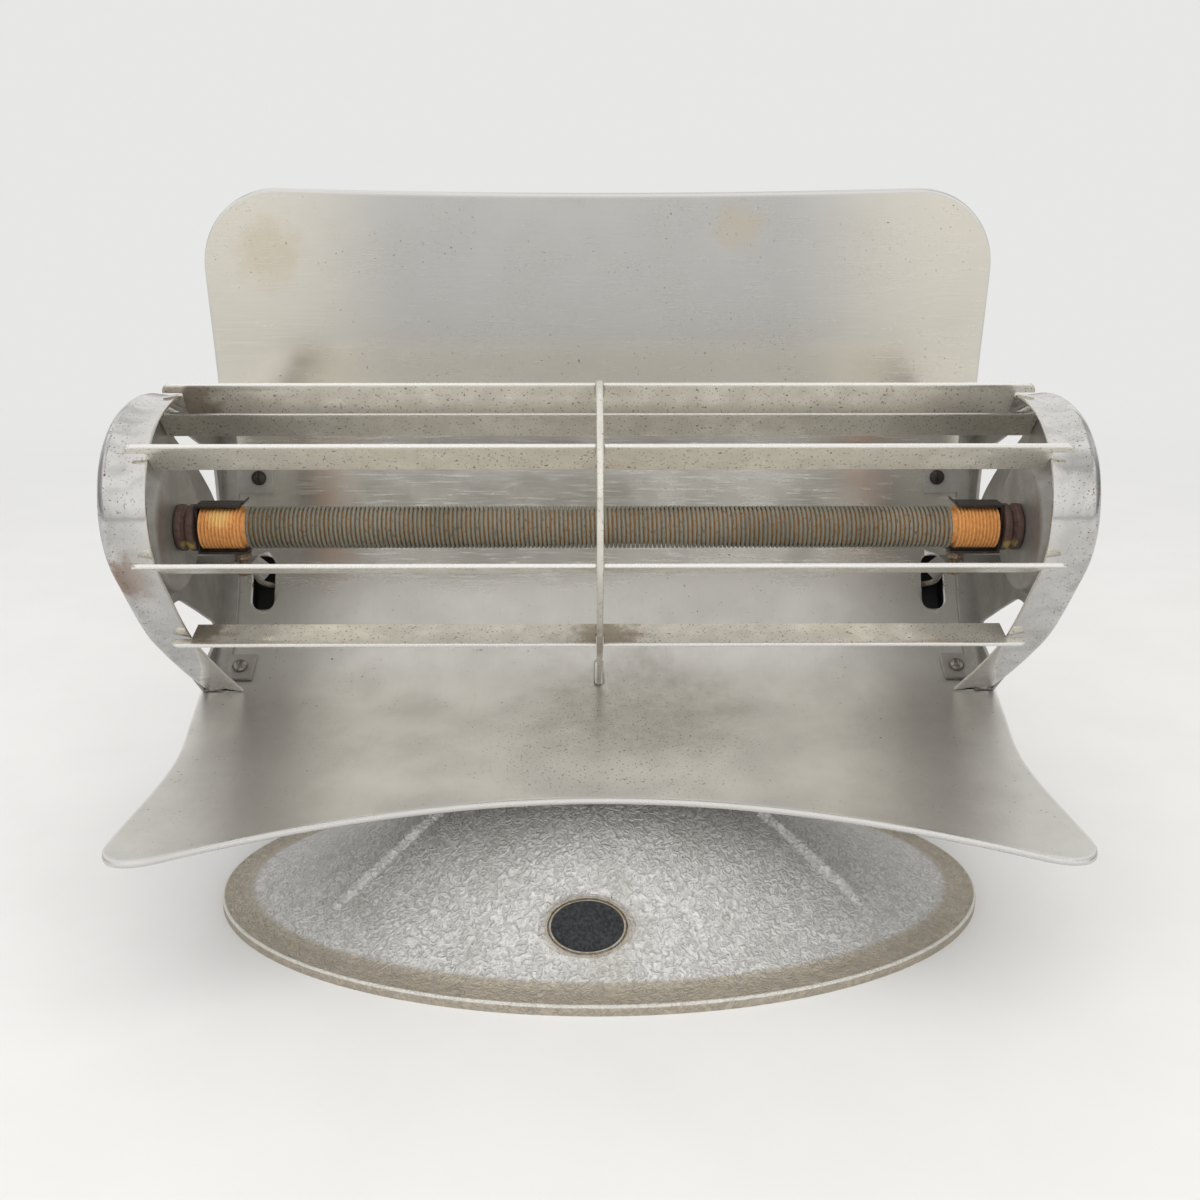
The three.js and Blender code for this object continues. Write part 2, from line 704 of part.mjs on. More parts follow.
function bossShell() {
  const outer = FRAME_OUTER_X;
  const inner = FRAME_OUTER_X - BOSS_DEPTH;
  return turnedAcross([
    [outer - FRAME_SHEET, BOSS_FOOT + BOSS_LAP],
    [outer - FRAME_SHEET, BOSS_FOOT],
    [inner - FRAME_SHEET, BOSS_PLATEAU],
    [inner - FRAME_SHEET, CAP_BOLT_RADIUS + SEAT_GAP],
    [inner, CAP_BOLT_RADIUS + SEAT_GAP],
    [inner, BOSS_PLATEAU],
    [outer, BOSS_FOOT],
    [outer, BOSS_FOOT + BOSS_LAP],
    [outer - FRAME_SHEET, BOSS_FOOT + BOSS_LAP],
  ], ELEMENT_Y, ELEMENT_Z, BOSS_ROUND);
}

function footFlange(fromS, toS, innerX) {
  const outline = [...sectionRun(fromS, toS, FOOT_OFF), ...sectionRun(toS, fromS, FOOT_TOP)];
  return plateAcross(outline, innerX, FRAME_OUTER_X - FRAME_SHEET / 2);
}

function endFrame(sign) {
  const inFace = FRAME_OUTER_X - FRAME_SHEET;
  const openings = [
    UPPER_OPENING,
    LOWER_OPENING,
    circlePoints(ELEMENT_Y, ELEMENT_Z, BOSS_FOOT + BOSS_LAP / 2, BOSS_ROUND),
  ].map((outline) => plateAcross(outline, inFace - CUT_OVER, FRAME_OUTER_X + CUT_OVER));
  const web = cutFrom(plateAcross(webOutline(BAND_BEND - WEB_LAP), inFace, FRAME_OUTER_X), ...openings);
  const feet = [
    footFlange(BAND_FOOT_S, BAND_TOP_S, FRAME_OUTER_X - FOOT_WIDTH),
    ...FRAME_SCREWS.map((screw) => footFlange(
      screw.s - TAB_WIDTH / 2,
      Math.min(screw.s + TAB_WIDTH / 2, BAND_TOP_S),
      screw.x - TAB_WIDTH / 2 + TAB_SHIFT,
    )),
  ];
  const whole = joined(web, bandRing(), bossShell(), ...feet);
  const holes = FRAME_SCREWS.map((screw) => screwHole(1, screw));
  return mirroredTo(sign, cutFrom(whole, ...holes));
}

function frameScrew(sign, screw) {
  const profile = [
    [0, -SCREW_LENGTH + FOOT_TOP],
    [SCREW_RADIUS, -SCREW_LENGTH + FOOT_TOP],
    [SCREW_RADIUS, FOOT_TOP + SEAT_GAP],
    [SCREW_HEAD_RADIUS, FOOT_TOP + SEAT_GAP],
    [SCREW_HEAD_RADIUS * HEAD_CROWN_RADIUS, FOOT_TOP + SEAT_GAP + SCREW_HEAD_THICK * HEAD_CROWN_HEIGHT],
    [0, FOOT_TOP + SEAT_GAP + SCREW_HEAD_THICK],
  ];
  return placed(turnedUp(profile, SMALL_ROUND), faceSeat(sign * screw.x, screw.s, 0));
}

function hexNut(bore, radius, thick) {
  const nut = rod(radius, thick, 6);
  return nut.subtract(rod(bore + SEAT_GAP, thick * 3, SMALL_ROUND).translate([0, 0, -thick]));
}

function frameNut(sign, screw) {
  const nut = hexNut(SCREW_RADIUS, NUT_RADIUS, NUT_THICK);
  const seat = faceSeat(sign * screw.x, screw.s, 0);
  return placed(nut.translate([0, 0, -SHEET - SEAT_GAP - NUT_THICK]), seat);
}

// ---------------------------------------------------------------- guard
const BLADES = [
  { name: 'guard_blade_top', ...TOP_BLADE },
  { name: 'guard_blade_upper', ...UPPER_BLADE },
  { name: 'guard_blade_lower', ...LOWER_BLADE },
  { name: 'guard_blade_bottom', ...BOTTOM_BLADE },
];

// A blade lies flat: X along it, its own Y inwards from its outer edge.
function bladeBlank(half, overhangHalf) {
  const shape = new THREE.Shape();
  shape.moveTo(-overhangHalf + BLADE_END_RADIUS, 0);
  shape.lineTo(overhangHalf - BLADE_END_RADIUS, 0);
  shape.absarc(overhangHalf - BLADE_END_RADIUS, BLADE_END_RADIUS, BLADE_END_RADIUS, -Math.PI / 2, 0);
  shape.lineTo(overhangHalf, BLADE_OVERHANG);
  shape.lineTo(half, BLADE_OVERHANG);
  shape.lineTo(half, BLADE_WIDTH);
  shape.lineTo(-half, BLADE_WIDTH);
  shape.lineTo(-half, BLADE_OVERHANG);
  shape.lineTo(-overhangHalf, BLADE_OVERHANG);
  shape.lineTo(-overhangHalf, BLADE_END_RADIUS);
  shape.absarc(
    -overhangHalf + BLADE_END_RADIUS,
    BLADE_END_RADIUS,
    BLADE_END_RADIUS,
    Math.PI,
    Math.PI * 1.5,
  );
  const geometry = new THREE.ExtrudeGeometry(shape, {
    depth: BLADE_THICK,
    bevelEnabled: false,
    curveSegments: 4,
  });
  geometry.translate(0, 0, -BLADE_THICK / 2);
  return toSolid(geometry);
}

function guardBlade(blade) {
  const notchDepth = TIE_DEPTH - TIE_PROUD + TIE_NOTCH_EASE;
  const notch = box(TIE_THICK + SEAT_GAP * 2, notchDepth * 2, BLADE_THICK * 3);
  const mesh = piece(
    blade.name,
    cutFrom(bladeBlank(BAND_INNER_X - SEAT_GAP, BLADE_HALF), notch),
    BLADE_METAL,
  );
  mesh.position.set(0, blade.y, blade.z);
  mesh.rotation.x = THREE.MathUtils.degToRad(blade.inward);
  return mesh;
}

function rearRail() {
  const solid = box(RAIL_HALF * 2, BLADE_WIDTH, BLADE_THICK).translate([0, BLADE_WIDTH / 2, 0]);
  const mesh = piece('guard_rear_rail', solid, BLADE_METAL);
  mesh.position.set(0, RAIL.y, RAIL.z);
  mesh.rotation.x = THREE.MathUtils.degToRad(RAIL.inward);
  return mesh;
}

// The tie stands on edge across the blades and goes down into the reflector's floor.
function tieOutline(grow) {
  const outer = BLADES.map(({ y, z, inward }) => {
    const turn = THREE.MathUtils.degToRad(inward);
    const reach = TIE_PROUD + grow;
    return new THREE.Vector2(y - Math.cos(turn) * reach, z - Math.sin(turn) * reach);
  });
  const inner = BLADES.map(({ y, z, inward }) => {
    const turn = THREE.MathUtils.degToRad(inward);
    const reach = TIE_DEPTH - TIE_PROUD + grow;
    return new THREE.Vector2(y + Math.cos(turn) * reach, z + Math.sin(turn) * reach);
  });
  const footFront = sectionPoint(TIE_FOOT_S - TIE_DEPTH / 2 - grow, -SHEET - TIE_FOOT_DROP);
  const footBack = sectionPoint(TIE_FOOT_S + TIE_DEPTH / 2 + grow, -SHEET - TIE_FOOT_DROP);
  const start = new THREE.Vector2(outer[0].x + TIE_START.back, outer[0].y - TIE_START.drop);
  const outside = new THREE.SplineCurve([start, ...outer]).getPoints(24);
  const inside = new THREE.SplineCurve(inner).getPoints(20).reverse();
  return [...outside, footFront, footBack, ...inside];
}

function guardTie() {
  return plateAcross(tieOutline(0), -TIE_THICK / 2, TIE_THICK / 2);
}

function tieFootSlot() {
  const point = sectionPoint(TIE_FOOT_S);
  const cutter = box(TIE_THICK + SEAT_GAP * 2, TIE_DEPTH * 2 + 2, SHEET * 6);
  return placed(cutter, { y: point.x - 1, z: point.y, aboutX: sectionTilt(TIE_FOOT_S) });
}

// ---------------------------------------------------------------- element
function elementRod() {
  const wound = ROD_HALF - ROD_BARE_END;
  const core = WINDING_RADIUS * Math.cos(Math.PI / TURN_STEPS) - WIRE_RADIUS - SEAT_GAP;
  const ribPitch = ROD_BARE_END / ROD_RIBS;
  const half = [[wound, core]];
  for (let i = 0; i < ROD_RIBS; i += 1) {
    const start = wound + ribPitch * i;
    half.push([start + ribPitch * RIB_STATIONS.foot, ROD_RADIUS - RIB_DEPTH]);
    half.push([start + ribPitch * RIB_STATIONS.top, ROD_RADIUS]);
    half.push([start + ribPitch * RIB_STATIONS.end, ROD_RADIUS]);
  }
  half.push([ROD_HALF, ROD_RADIUS - RIB_DEPTH]);
  half.push([ROD_HALF, ROD_BORE]);
  const other = half.map(([along, radius]) => [-along, radius]).reverse();
  return turnedAcross([...other, ...half, other[0]], ELEMENT_Y, ELEMENT_Z, ROD_ROUND);
}

// One unbroken wire: a helix of straight steps whose two ends run straight along the rod.
function windingPoints() {
  const half = ROD_HALF - ROD_BARE_END - WINDING_END_GAP - WIRE_RADIUS;
  const steps = WINDING_TURNS * TURN_STEPS;
  const points = [];
  for (let i = 0; i <= steps; i += 1) {
    const turn = (i / TURN_STEPS) * Math.PI * 2;
    points.push(new THREE.Vector3(
      THREE.MathUtils.lerp(-half, half, i / steps),
      ELEMENT_Y + WINDING_RADIUS * Math.cos(turn),
      ELEMENT_Z + WINDING_RADIUS * Math.sin(turn),
    ));
  }
  return points;
}

function windingGap(points) {
  let least = Infinity;
  for (let i = 0; i < points.length; i += 1) {
    const end = Math.min(points.length, i + TURN_STEPS * 2);
    for (let j = i + TURN_STEPS / 2; j < end; j += 1) {
      least = Math.min(least, points[i].distanceTo(points[j]));
    }
  }
  return least - WIRE_RADIUS * 2;
}

function heatingWinding() {
  const points = windingPoints();
  console.log(`heating_winding least gap to itself: ${windingGap(points).toFixed(3)} mm`);
  const positions = [];
  const index = [];
  const axis = new THREE.Vector3(1, 0, 0);
  points.forEach((point, i) => {
    const outward = new THREE.Vector3(0, point.y - ELEMENT_Y, point.z - ELEMENT_Z).normalize();
    for (let k = 0; k < WIRE_SIDES; k += 1) {
      const turn = (k / WIRE_SIDES) * Math.PI * 2;
      const rim = point.clone()
        .addScaledVector(axis, WIRE_RADIUS * Math.cos(turn))
        .addScaledVector(outward, WIRE_RADIUS * Math.sin(turn));
      positions.push(rim.x, rim.y, rim.z);
      if (i > 0) {
        const next = (k + 1) % WIRE_SIDES;
        const [a, b] = [(i - 1) * WIRE_SIDES + k, (i - 1) * WIRE_SIDES + next];
        index.push(a, a + WIRE_SIDES, b + WIRE_SIDES, a, b + WIRE_SIDES, b);
      }
    }
  });
  const last = (points.length - 1) * WIRE_SIDES;
  for (let k = 1; k + 1 < WIRE_SIDES; k += 1) {
    index.push(0, k, k + 1);
    index.push(last, last + k + 1, last + k);
  }
  const geometry = new THREE.BufferGeometry();
  geometry.setAttribute('position', new THREE.BufferAttribute(new Float32Array(positions), 3));
  geometry.setIndex(index);
  return toSolid(geometry);
}

// ---------------------------------------------------------------- element ends
const CLIP_BASE_X = ROD_HALF + SEAT_GAP;
const CAP_INNER_X = CLIP_BASE_X + CLIP_SHEET + SEAT_GAP;
const BOSS_INNER_X = FRAME_OUTER_X - BOSS_DEPTH - FRAME_SHEET;
const CAP_OUTER_X = BOSS_INNER_X - SEAT_GAP;
const CLIP_ARM_Z = ROD_RADIUS + CLIP_LIFT;
const TERMINAL_X = CLIP_BASE_X - CLIP_ARM + TERMINAL_INSET;

function endCap(sign) {
  const waist = (CAP_INNER_X + CAP_OUTER_X) / 2;
  const bore = CAP_BOLT_RADIUS + SEAT_GAP;
  const solid = turnedAcross([
    [CAP_INNER_X, bore],
    [CAP_INNER_X, CAP_RADIUS - CAP_EDGE],
    [CAP_INNER_X + CAP_EDGE, CAP_RADIUS],
    [waist + CAP_GROOVE.start, CAP_RADIUS],
    [waist + CAP_GROOVE.floor, CAP_WAIST_RADIUS],
    [waist + CAP_GROOVE.rise, CAP_WAIST_RADIUS],
    [waist + CAP_GROOVE.end, CAP_RADIUS],
    [CAP_OUTER_X, CAP_RADIUS],
    [CAP_OUTER_X, bore],
    [CAP_INNER_X, bore],
  ], ELEMENT_Y, ELEMENT_Z, CAP_ROUND);
  return mirroredTo(sign, solid);
}

function elementClip(sign) {
  const inside = CLIP_ARM_Z;
  const outside = CLIP_ARM_Z + CLIP_SHEET;
  const tip = CLIP_BASE_X - CLIP_ARM;
  const shape = new THREE.Shape();
  shape.moveTo(CLIP_BASE_X, -inside);
  shape.lineTo(CLIP_BASE_X, inside);
  shape.lineTo(tip + CLIP_TIP_FLARE, inside);
  shape.lineTo(tip, inside + CLIP_TIP_FLARE);
  shape.lineTo(tip, outside + CLIP_TIP_FLARE);
  shape.lineTo(tip + CLIP_TIP_FLARE, outside);
  shape.lineTo(CLIP_BASE_X + CLIP_SHEET, outside);
  shape.lineTo(CLIP_BASE_X + CLIP_SHEET, -outside);
  shape.lineTo(tip, -outside);
  shape.lineTo(tip, -inside);
  const geometry = new THREE.ExtrudeGeometry(shape, { depth: CLIP_WIDTH, bevelEnabled: false });
  geometry.rotateX(Math.PI / 2);
  geometry.translate(0, ELEMENT_Y + CLIP_WIDTH / 2, ELEMENT_Z);
  const boltHole = turnedAcross([
    [CLIP_BASE_X - CUT_OVER, 0],
    [CLIP_BASE_X - CUT_OVER, CAP_BOLT_RADIUS + SEAT_GAP],
    [CLIP_BASE_X + CUT_OVER * 3, CAP_BOLT_RADIUS + SEAT_GAP],
    [CLIP_BASE_X + CUT_OVER * 3, 0],
  ], ELEMENT_Y, ELEMENT_Z, SMALL_ROUND);
  const screwHoleHere = rod(TERMINAL_RADIUS + SEAT_GAP, CLIP_HOLE_LENGTH, SMALL_ROUND)
    .translate([TERMINAL_X, ELEMENT_Y, ELEMENT_Z - outside - CLIP_HOLE_LENGTH / 2]);
  return mirroredTo(sign, cutFrom(toSolid(geometry), boltHole, screwHoleHere));
}

// The bolt's head sits in the rod's bore and clamps the clip and the cap to the boss.
function capBolt(sign) {
  const headBase = CLIP_BASE_X - SEAT_GAP;
  const solid = turnedAcross([
    [headBase - CAP_BOLT_HEAD_THICK, 0],
    [headBase - CAP_BOLT_HEAD_THICK, CAP_BOLT_HEAD],
    [headBase, CAP_BOLT_HEAD],
    [headBase, CAP_BOLT_RADIUS],
    [FRAME_OUTER_X - BOSS_DEPTH + CAP_NUT_THICK + BOLT_END, CAP_BOLT_RADIUS],
    [FRAME_OUTER_X - BOSS_DEPTH + CAP_NUT_THICK + BOLT_END, 0],
  ], ELEMENT_Y, ELEMENT_Z, SMALL_ROUND);
  return mirroredTo(sign, solid);
}

function capNut(sign) {
  const solid = hexNut(CAP_BOLT_RADIUS, CAP_NUT_RADIUS, CAP_NUT_THICK)
    .rotate([0, 90, 0])
    .translate([FRAME_OUTER_X - BOSS_DEPTH + SEAT_GAP, ELEMENT_Y, ELEMENT_Z]);
  return mirroredTo(sign, solid);
}

function terminalScrew(sign) {
  const underArm = ELEMENT_Z - CLIP_ARM_Z - CLIP_SHEET;
  const top = ELEMENT_Z - CLIP_ARM_Z + TERMINAL_PROUD;
  const solid = turnedUp([
    [0, underArm - TERMINAL_DROP],
    [TERMINAL_HEAD, underArm - TERMINAL_DROP],
    [TERMINAL_HEAD, underArm - TERMINAL_DROP + TERMINAL_HEAD_THICK],
    [TERMINAL_RADIUS, underArm - TERMINAL_DROP + TERMINAL_HEAD_THICK],
    [TERMINAL_RADIUS, top],
    [0, top],
  ], SMALL_ROUND).translate([TERMINAL_X, ELEMENT_Y, 0]);
  return mirroredTo(sign, solid);
}

function terminalNut(sign) {
  const top = ELEMENT_Z - CLIP_ARM_Z - CLIP_SHEET - SEAT_GAP;
  const solid = hexNut(TERMINAL_RADIUS, TERMINAL_NUT_RADIUS, TERMINAL_NUT_THICK)
    .translate([TERMINAL_X, ELEMENT_Y, top - TERMINAL_NUT_THICK]);
  return mirroredTo(sign, solid);
}

// A folded guard plate under each terminal, held on the end frame's web.
function terminalShield(sign) {
  const inFace = FRAME_OUTER_X - FRAME_SHEET - SEAT_GAP;
  const topZ = SHIELD_TOP_Z;
  const tip = TERMINAL_X - 1;
  const fold = tip + SHIELD_FOLD.out;
  const underZ = topZ - SHIELD_SHEET;
  const outline = [
    [inFace, topZ - SHIELD_FLANGE],
    [inFace, topZ],
    [fold, topZ],
    [tip, topZ - SHIELD_FOLD.down],
    [tip + SHIELD_TIP.out, underZ - SHIELD_FOLD.down],
    [fold + SHIELD_TIP.fold, underZ],
    [inFace - SHIELD_SHEET, underZ],
    [inFace - SHIELD_SHEET, topZ - SHIELD_FLANGE],
  ];
  const shape = new THREE.Shape(outline.map(([x, z]) => new THREE.Vector2(x, z)));
  const geometry = new THREE.ExtrudeGeometry(shape, { depth: SHIELD_DEPTH, bevelEnabled: false });
  geometry.rotateX(Math.PI / 2);
  geometry.translate(0, SHIELD_REAR_Y, 0);
  return mirroredTo(sign, toSolid(geometry));
}

// ---------------------------------------------------------------- rear cover and wiring
const COVER_LOW_S = sectionAt('y', COVER_LOW_Z);
const COVER_HIGH_S = sectionAt('y', COVER_HIGH_Z);

function coverOutline(grow) {
  const wall = sectionRun(COVER_LOW_S + grow, COVER_HIGH_S - grow, BACK_OFF);
  const rearY = sectionPoint(COVER_HIGH_S).x + COVER_DEPTH - grow;
  const topZ = COVER_HIGH_Z - grow;
  const lowZ = COVER_LOW_Z + grow;
  const rear = toPoints([
    [rearY - COVER_TOP_CORNER.y, topZ],
    [rearY, topZ - COVER_TOP_CORNER.z],
    [rearY, lowZ + COVER_LOW_CORNER.z],
    [rearY - COVER_LOW_CORNER.y, lowZ],
  ]);
  return [...wall, ...rear].reverse();
}

function coverScrewSeat(sign) {
  return faceSeat(sign * COVER_SCREW_X, COVER_SCREW_S, 0);
}

function coverScrewHole(sign) {
  const hole = rod(SCREW_RADIUS + SEAT_GAP, SCREW_LENGTH * 2, SMALL_ROUND).translate([0, 0, -SCREW_LENGTH]);
  return placed(hole, coverScrewSeat(sign));
}

function rearCover() {
  const shell = plateAcross(coverOutline(0), -COVER_HALF_X, COVER_HALF_X);
  const hollow = plateAcross(
    coverOutline(COVER_WALL),
    -COVER_HALF_X + COVER_WALL,
    COVER_HALF_X - COVER_WALL,
  );
  const mouth = plateAcross([
    ...sectionRun(COVER_LOW_S + COVER_FLANGE, COVER_HIGH_S - COVER_FLANGE, BACK_OFF + CUT_OVER),
    ...sectionRun(COVER_HIGH_S - COVER_FLANGE, COVER_LOW_S + COVER_FLANGE, BACK_OFF - CUT_OVER * 2),
  ].reverse(), -COVER_HALF_X + COVER_WALL, COVER_HALF_X - COVER_WALL);
  const ears = SIDES.map(({ sign }) => {
    const [low, high] = [COVER_HIGH_S - COVER_EAR_LAP, COVER_SCREW_S + COVER_EAR_RISE];
    const run = [...sectionRun(low, high, BACK_OFF), ...sectionRun(high, low, BACK_OFF - COVER_WALL)];
    const middle = sign * COVER_SCREW_X;
    return plateAcross(run, middle - COVER_EAR_HALF, middle + COVER_EAR_HALF);
  });
  const inlet = rod(INLET_RADIUS + SEAT_GAP, INLET_CUT, LARGE_ROUND).rotate([90, 0, 0])
    .translate([INLET_X, sectionPoint(COVER_HIGH_S).x + COVER_DEPTH + INLET_CUT / 2, INLET_Z]);
  const holes = SIDES.map(({ sign }) => coverScrewHole(sign));
  return cutFrom(joined(shell.subtract(hollow).subtract(mouth), ...ears), inlet, ...holes);
}

function coverScrew(sign) {
  const back = -SHEET - SEAT_GAP - COVER_WALL - SEAT_GAP;
  const profile = [
    [0, back - SCREW_HEAD_THICK],
    [SCREW_HEAD_RADIUS, back - SCREW_HEAD_THICK * HEAD_CROWN_HEIGHT],
    [SCREW_HEAD_RADIUS, back],
    [SCREW_RADIUS, back],
    [SCREW_RADIUS, 0],
    [0, COVER_SCREW_END],
  ];
  return placed(turnedUp(profile, SMALL_ROUND), coverScrewSeat(sign));
}

const COVER_REAR_Y = sectionPoint(COVER_HIGH_S).x + COVER_DEPTH;

function inletBush() {
  const outside = COVER_REAR_Y;
  const profile = [
    [INLET_HOLE, -INLET_INSIDE],
    [INLET_RADIUS, -INLET_INSIDE],
    [INLET_RADIUS, SEAT_GAP],
    [INLET_FLANGE, SEAT_GAP],
    [INLET_FLANGE * INLET_TAPER, INLET_OUTSIDE],
    [INLET_HOLE, INLET_OUTSIDE],
    [INLET_HOLE, -INLET_INSIDE],
  ];
  return turnedUp(profile, LARGE_ROUND).rotate([-90, 0, 0]).translate([INLET_X, outside, INLET_Z]);
}

const BLOCK_S = sectionAt('y', SLOT_Z + BLOCK_ABOVE_SLOT);
const BLOCK_SEAT = sectionPoint(BLOCK_S, -SHEET - SEAT_GAP);

function terminalBlock() {
  const block = box(BLOCK_LENGTH, BLOCK_HEIGHT, BLOCK_DEPTH).translate([0, 0, -BLOCK_DEPTH / 2]);
  const ways = [-1, 1].map((side) => box(BLOCK_LENGTH / 3, BLOCK_WAY, BLOCK_WAY)
    .translate([side * BLOCK_LENGTH / 4, 0, -BLOCK_DEPTH]));
  return placed(cutFrom(block, ...ways), {
    y: BLOCK_SEAT.x,
    z: BLOCK_SEAT.y,
    aboutX: sectionTilt(BLOCK_S),
  });
}

// Each lead leaves its terminal, goes through the reflector's slot and runs to the block.
function leadRoute() {
  const slot = sectionPoint(sectionAt('y', SLOT_Z));
  const behind = sectionPoint(sectionAt('y', SLOT_Z), -SHEET - 5);
  const headTop = ELEMENT_Z - CLIP_ARM_Z - CLIP_SHEET - TERMINAL_DROP + TERMINAL_HEAD_THICK;
  const screwZ = headTop + LEAD_RADIUS + SEAT_GAP;
  return new THREE.CatmullRomCurve3([
    new THREE.Vector3(TERMINAL_X + TERMINAL_RADIUS + LEAD_RADIUS + SEAT_GAP, ELEMENT_Y + 1, screwZ),
    new THREE.Vector3(TERMINAL_X + 6, ELEMENT_Y + 14, screwZ - 1),
    new THREE.Vector3(TERMINAL_X + 10, ELEMENT_Y + 34, screwZ - 3),
    new THREE.Vector3(SLOT_X - 2, slot.x - 22, slot.y + 14),
    new THREE.Vector3(SLOT_X, slot.x, slot.y),
    new THREE.Vector3(SLOT_X - 7, behind.x + 2, behind.y - 1),
    new THREE.Vector3(SLOT_X - 26, behind.x + 3, behind.y - 1),
    new THREE.Vector3(SLOT_X / 2, behind.x + 3, behind.y - 1),
    new THREE.Vector3(BLOCK_LENGTH / 2 + SEAT_GAP, behind.x + 2.5, behind.y),
  ]);
}

function lead(sign) {
  const section = new THREE.Shape(circlePoints(0, 0, LEAD_RADIUS, LEAD_SIDES));
  const geometry = new THREE.ExtrudeGeometry(section, {
    steps: LEAD_STEPS,
    extrudePath: leadRoute(),
    bevelEnabled: false,
  });
  return mirroredTo(sign, toSolid(geometry));
}

// ---------------------------------------------------------------- base
function ovalRing(halfX, halfY, z) {
  const ring = [];
  for (let i = 0; i < OVAL_STEPS; i += 1) {
    const turn = (i / OVAL_STEPS) * Math.PI * 2;
    ring.push([halfX * Math.cos(turn), halfY * Math.sin(turn), z]);
  }
  return ring;
}

// A closed solid from ovals stacked from the bottom up.
function stackedOvals(rings) {
  const positions = rings.flat(2);
  const index = [];
  const count = OVAL_STEPS;
  for (let k = 0; k + 1 < rings.length; k += 1) {
    for (let i = 0; i < count; i += 1) {
      const [a, b] = [k * count + i, k * count + ((i + 1) % count)];
      index.push(a, b, b + count, a, b + count, a + count);
    }
  }
  const last = (rings.length - 1) * count;
  for (let i = 1; i + 1 < count; i += 1) {
    index.push(0, i + 1, i);
    index.push(last, last + i, last + i + 1);
  }
  const geometry = new THREE.BufferGeometry();
  geometry.setAttribute('position', new THREE.BufferAttribute(new Float32Array(positions), 3));
  geometry.setIndex(index);
  return toSolid(geometry);
}

// Height of the dome's skin at a share of the way from the rim to its top.
function domeRise(share) {
  return RIM_THICK + (DOME_TOP_Z - RIM_THICK) * (share - DOME_EASE * Math.sin(share * Math.PI * 2));
}

function domeHalf(share) {
  return {
    x: THREE.MathUtils.lerp(BASE_HALF_X - RIM_WIDTH, DOME_TOP_HALF_X, share),
    y: THREE.MathUtils.lerp(BASE_HALF_Y - RIM_WIDTH, DOME_TOP_HALF_Y, share),
  };
}

function domeBody(inset, drop) {
  const rings = [];
  for (let k = 0; k <= DOME_RINGS; k += 1) {
    const share = k / DOME_RINGS;
    const half = domeHalf(share);
    rings.push(ovalRing(half.x - inset, half.y - inset, domeRise(share) - drop));
  }
  return rings;
}

function baseShell() {
  const edge = RIM_EDGE_RADIUS;
  const outer = [
    ovalRing(BASE_HALF_X, BASE_HALF_Y, 0),
    ovalRing(BASE_HALF_X, BASE_HALF_Y, RIM_THICK - edge - RIM_SIDE_DROP),
    ovalRing(BASE_HALF_X - edge, BASE_HALF_Y - edge, RIM_THICK - RIM_EDGE_DROP),
    ...domeBody(0, 0),
  ];
  const mouth = domeHalf(0);
  const inner = [
    ovalRing(mouth.x - DOME_WALL, mouth.y - DOME_WALL, -CUT_OVER),
    ...domeBody(DOME_WALL, DOME_WALL),
  ];
  const rebate = plateOval(0, -CUT_OVER, PLATE_THICK + SEAT_GAP);
  return cutFrom(stackedOvals(outer), stackedOvals(inner), rebate);
}

// The oval of the bottom plate's rebate, drawn in by an inset.
function plateOval(inset, low, high) {
  const mouth = domeHalf(0);
  const reach = PLATE_LEDGE - DOME_WALL - inset;
  const [halfX, halfY] = [mouth.x + reach, mouth.y + reach];
  return stackedOvals([ovalRing(halfX, halfY, low), ovalRing(halfX, halfY, high)]);
}

// A rib runs down the dome from the neck towards the rim.
function domeRib(sideX, sideY) {
  const from = new THREE.Vector2(RIB_INNER.x * sideX, RIB_INNER.y * sideY);
  const to = new THREE.Vector2(RIB_OUTER.x * sideX, RIB_OUTER.y * sideY);
  const along = to.clone().sub(from).normalize();
  const across = new THREE.Vector2(-along.y, along.x);
  const half = [[1, -RIB_ROOT], [1, 0], [RIB_TOP_SHARE, RIB_HEIGHT]];
  const otherHalf = half.map(([side, up]) => [-side, up]).reverse();
  const corners = [otherHalf[2], ...half, otherHalf[0], otherHalf[1]];
  const positions = [];
  const index = [];
  for (let i = 0; i <= RIB_STEPS; i += 1) {
    const at = from.clone().lerp(to, i / RIB_STEPS);
    const height = skinHeight(at.x, at.y);
    const fade = Math.min(1, (1 - i / RIB_STEPS) * RIB_FADE + RIB_END_SHARE);
    for (const [side, up] of corners) {
      const lift = up > 0 ? up * fade : up;
      positions.push(
        at.x + across.x * side * RIB_WIDTH / 2,
        at.y + across.y * side * RIB_WIDTH / 2,
        height + lift,
      );
    }
  }
  const sides = corners.length;
  for (let i = 0; i < RIB_STEPS; i += 1) {
    for (let k = 0; k < sides; k += 1) {
      const [a, b] = [i * sides + k, i * sides + ((k + 1) % sides)];
      index.push(a, b, b + sides, a, b + sides, a + sides);
    }
  }
  const last = RIB_STEPS * sides;
  for (let k = 1; k + 1 < sides; k += 1) {
    index.push(0, k + 1, k);
    index.push(last, last + k, last + k + 1);
  }
  const geometry = new THREE.BufferGeometry();
  geometry.setAttribute('position', new THREE.BufferAttribute(new Float32Array(positions), 3));
  geometry.setIndex(index);
  return toSolid(geometry);
}

// The skin's height above a point of the floor plan, found between the rim and the top.
function skinHeight(x, y) {
  let low = 0;
  let high = 1;
  for (let i = 0; i < 30; i += 1) {
    const middle = (low + high) / 2;
    const half = domeHalf(middle);
    const outside = (x / half.x) ** 2 + (y / half.y) ** 2 > 1;
    if (outside) high = middle;
    else low = middle;
  }
  return domeRise(low);
}

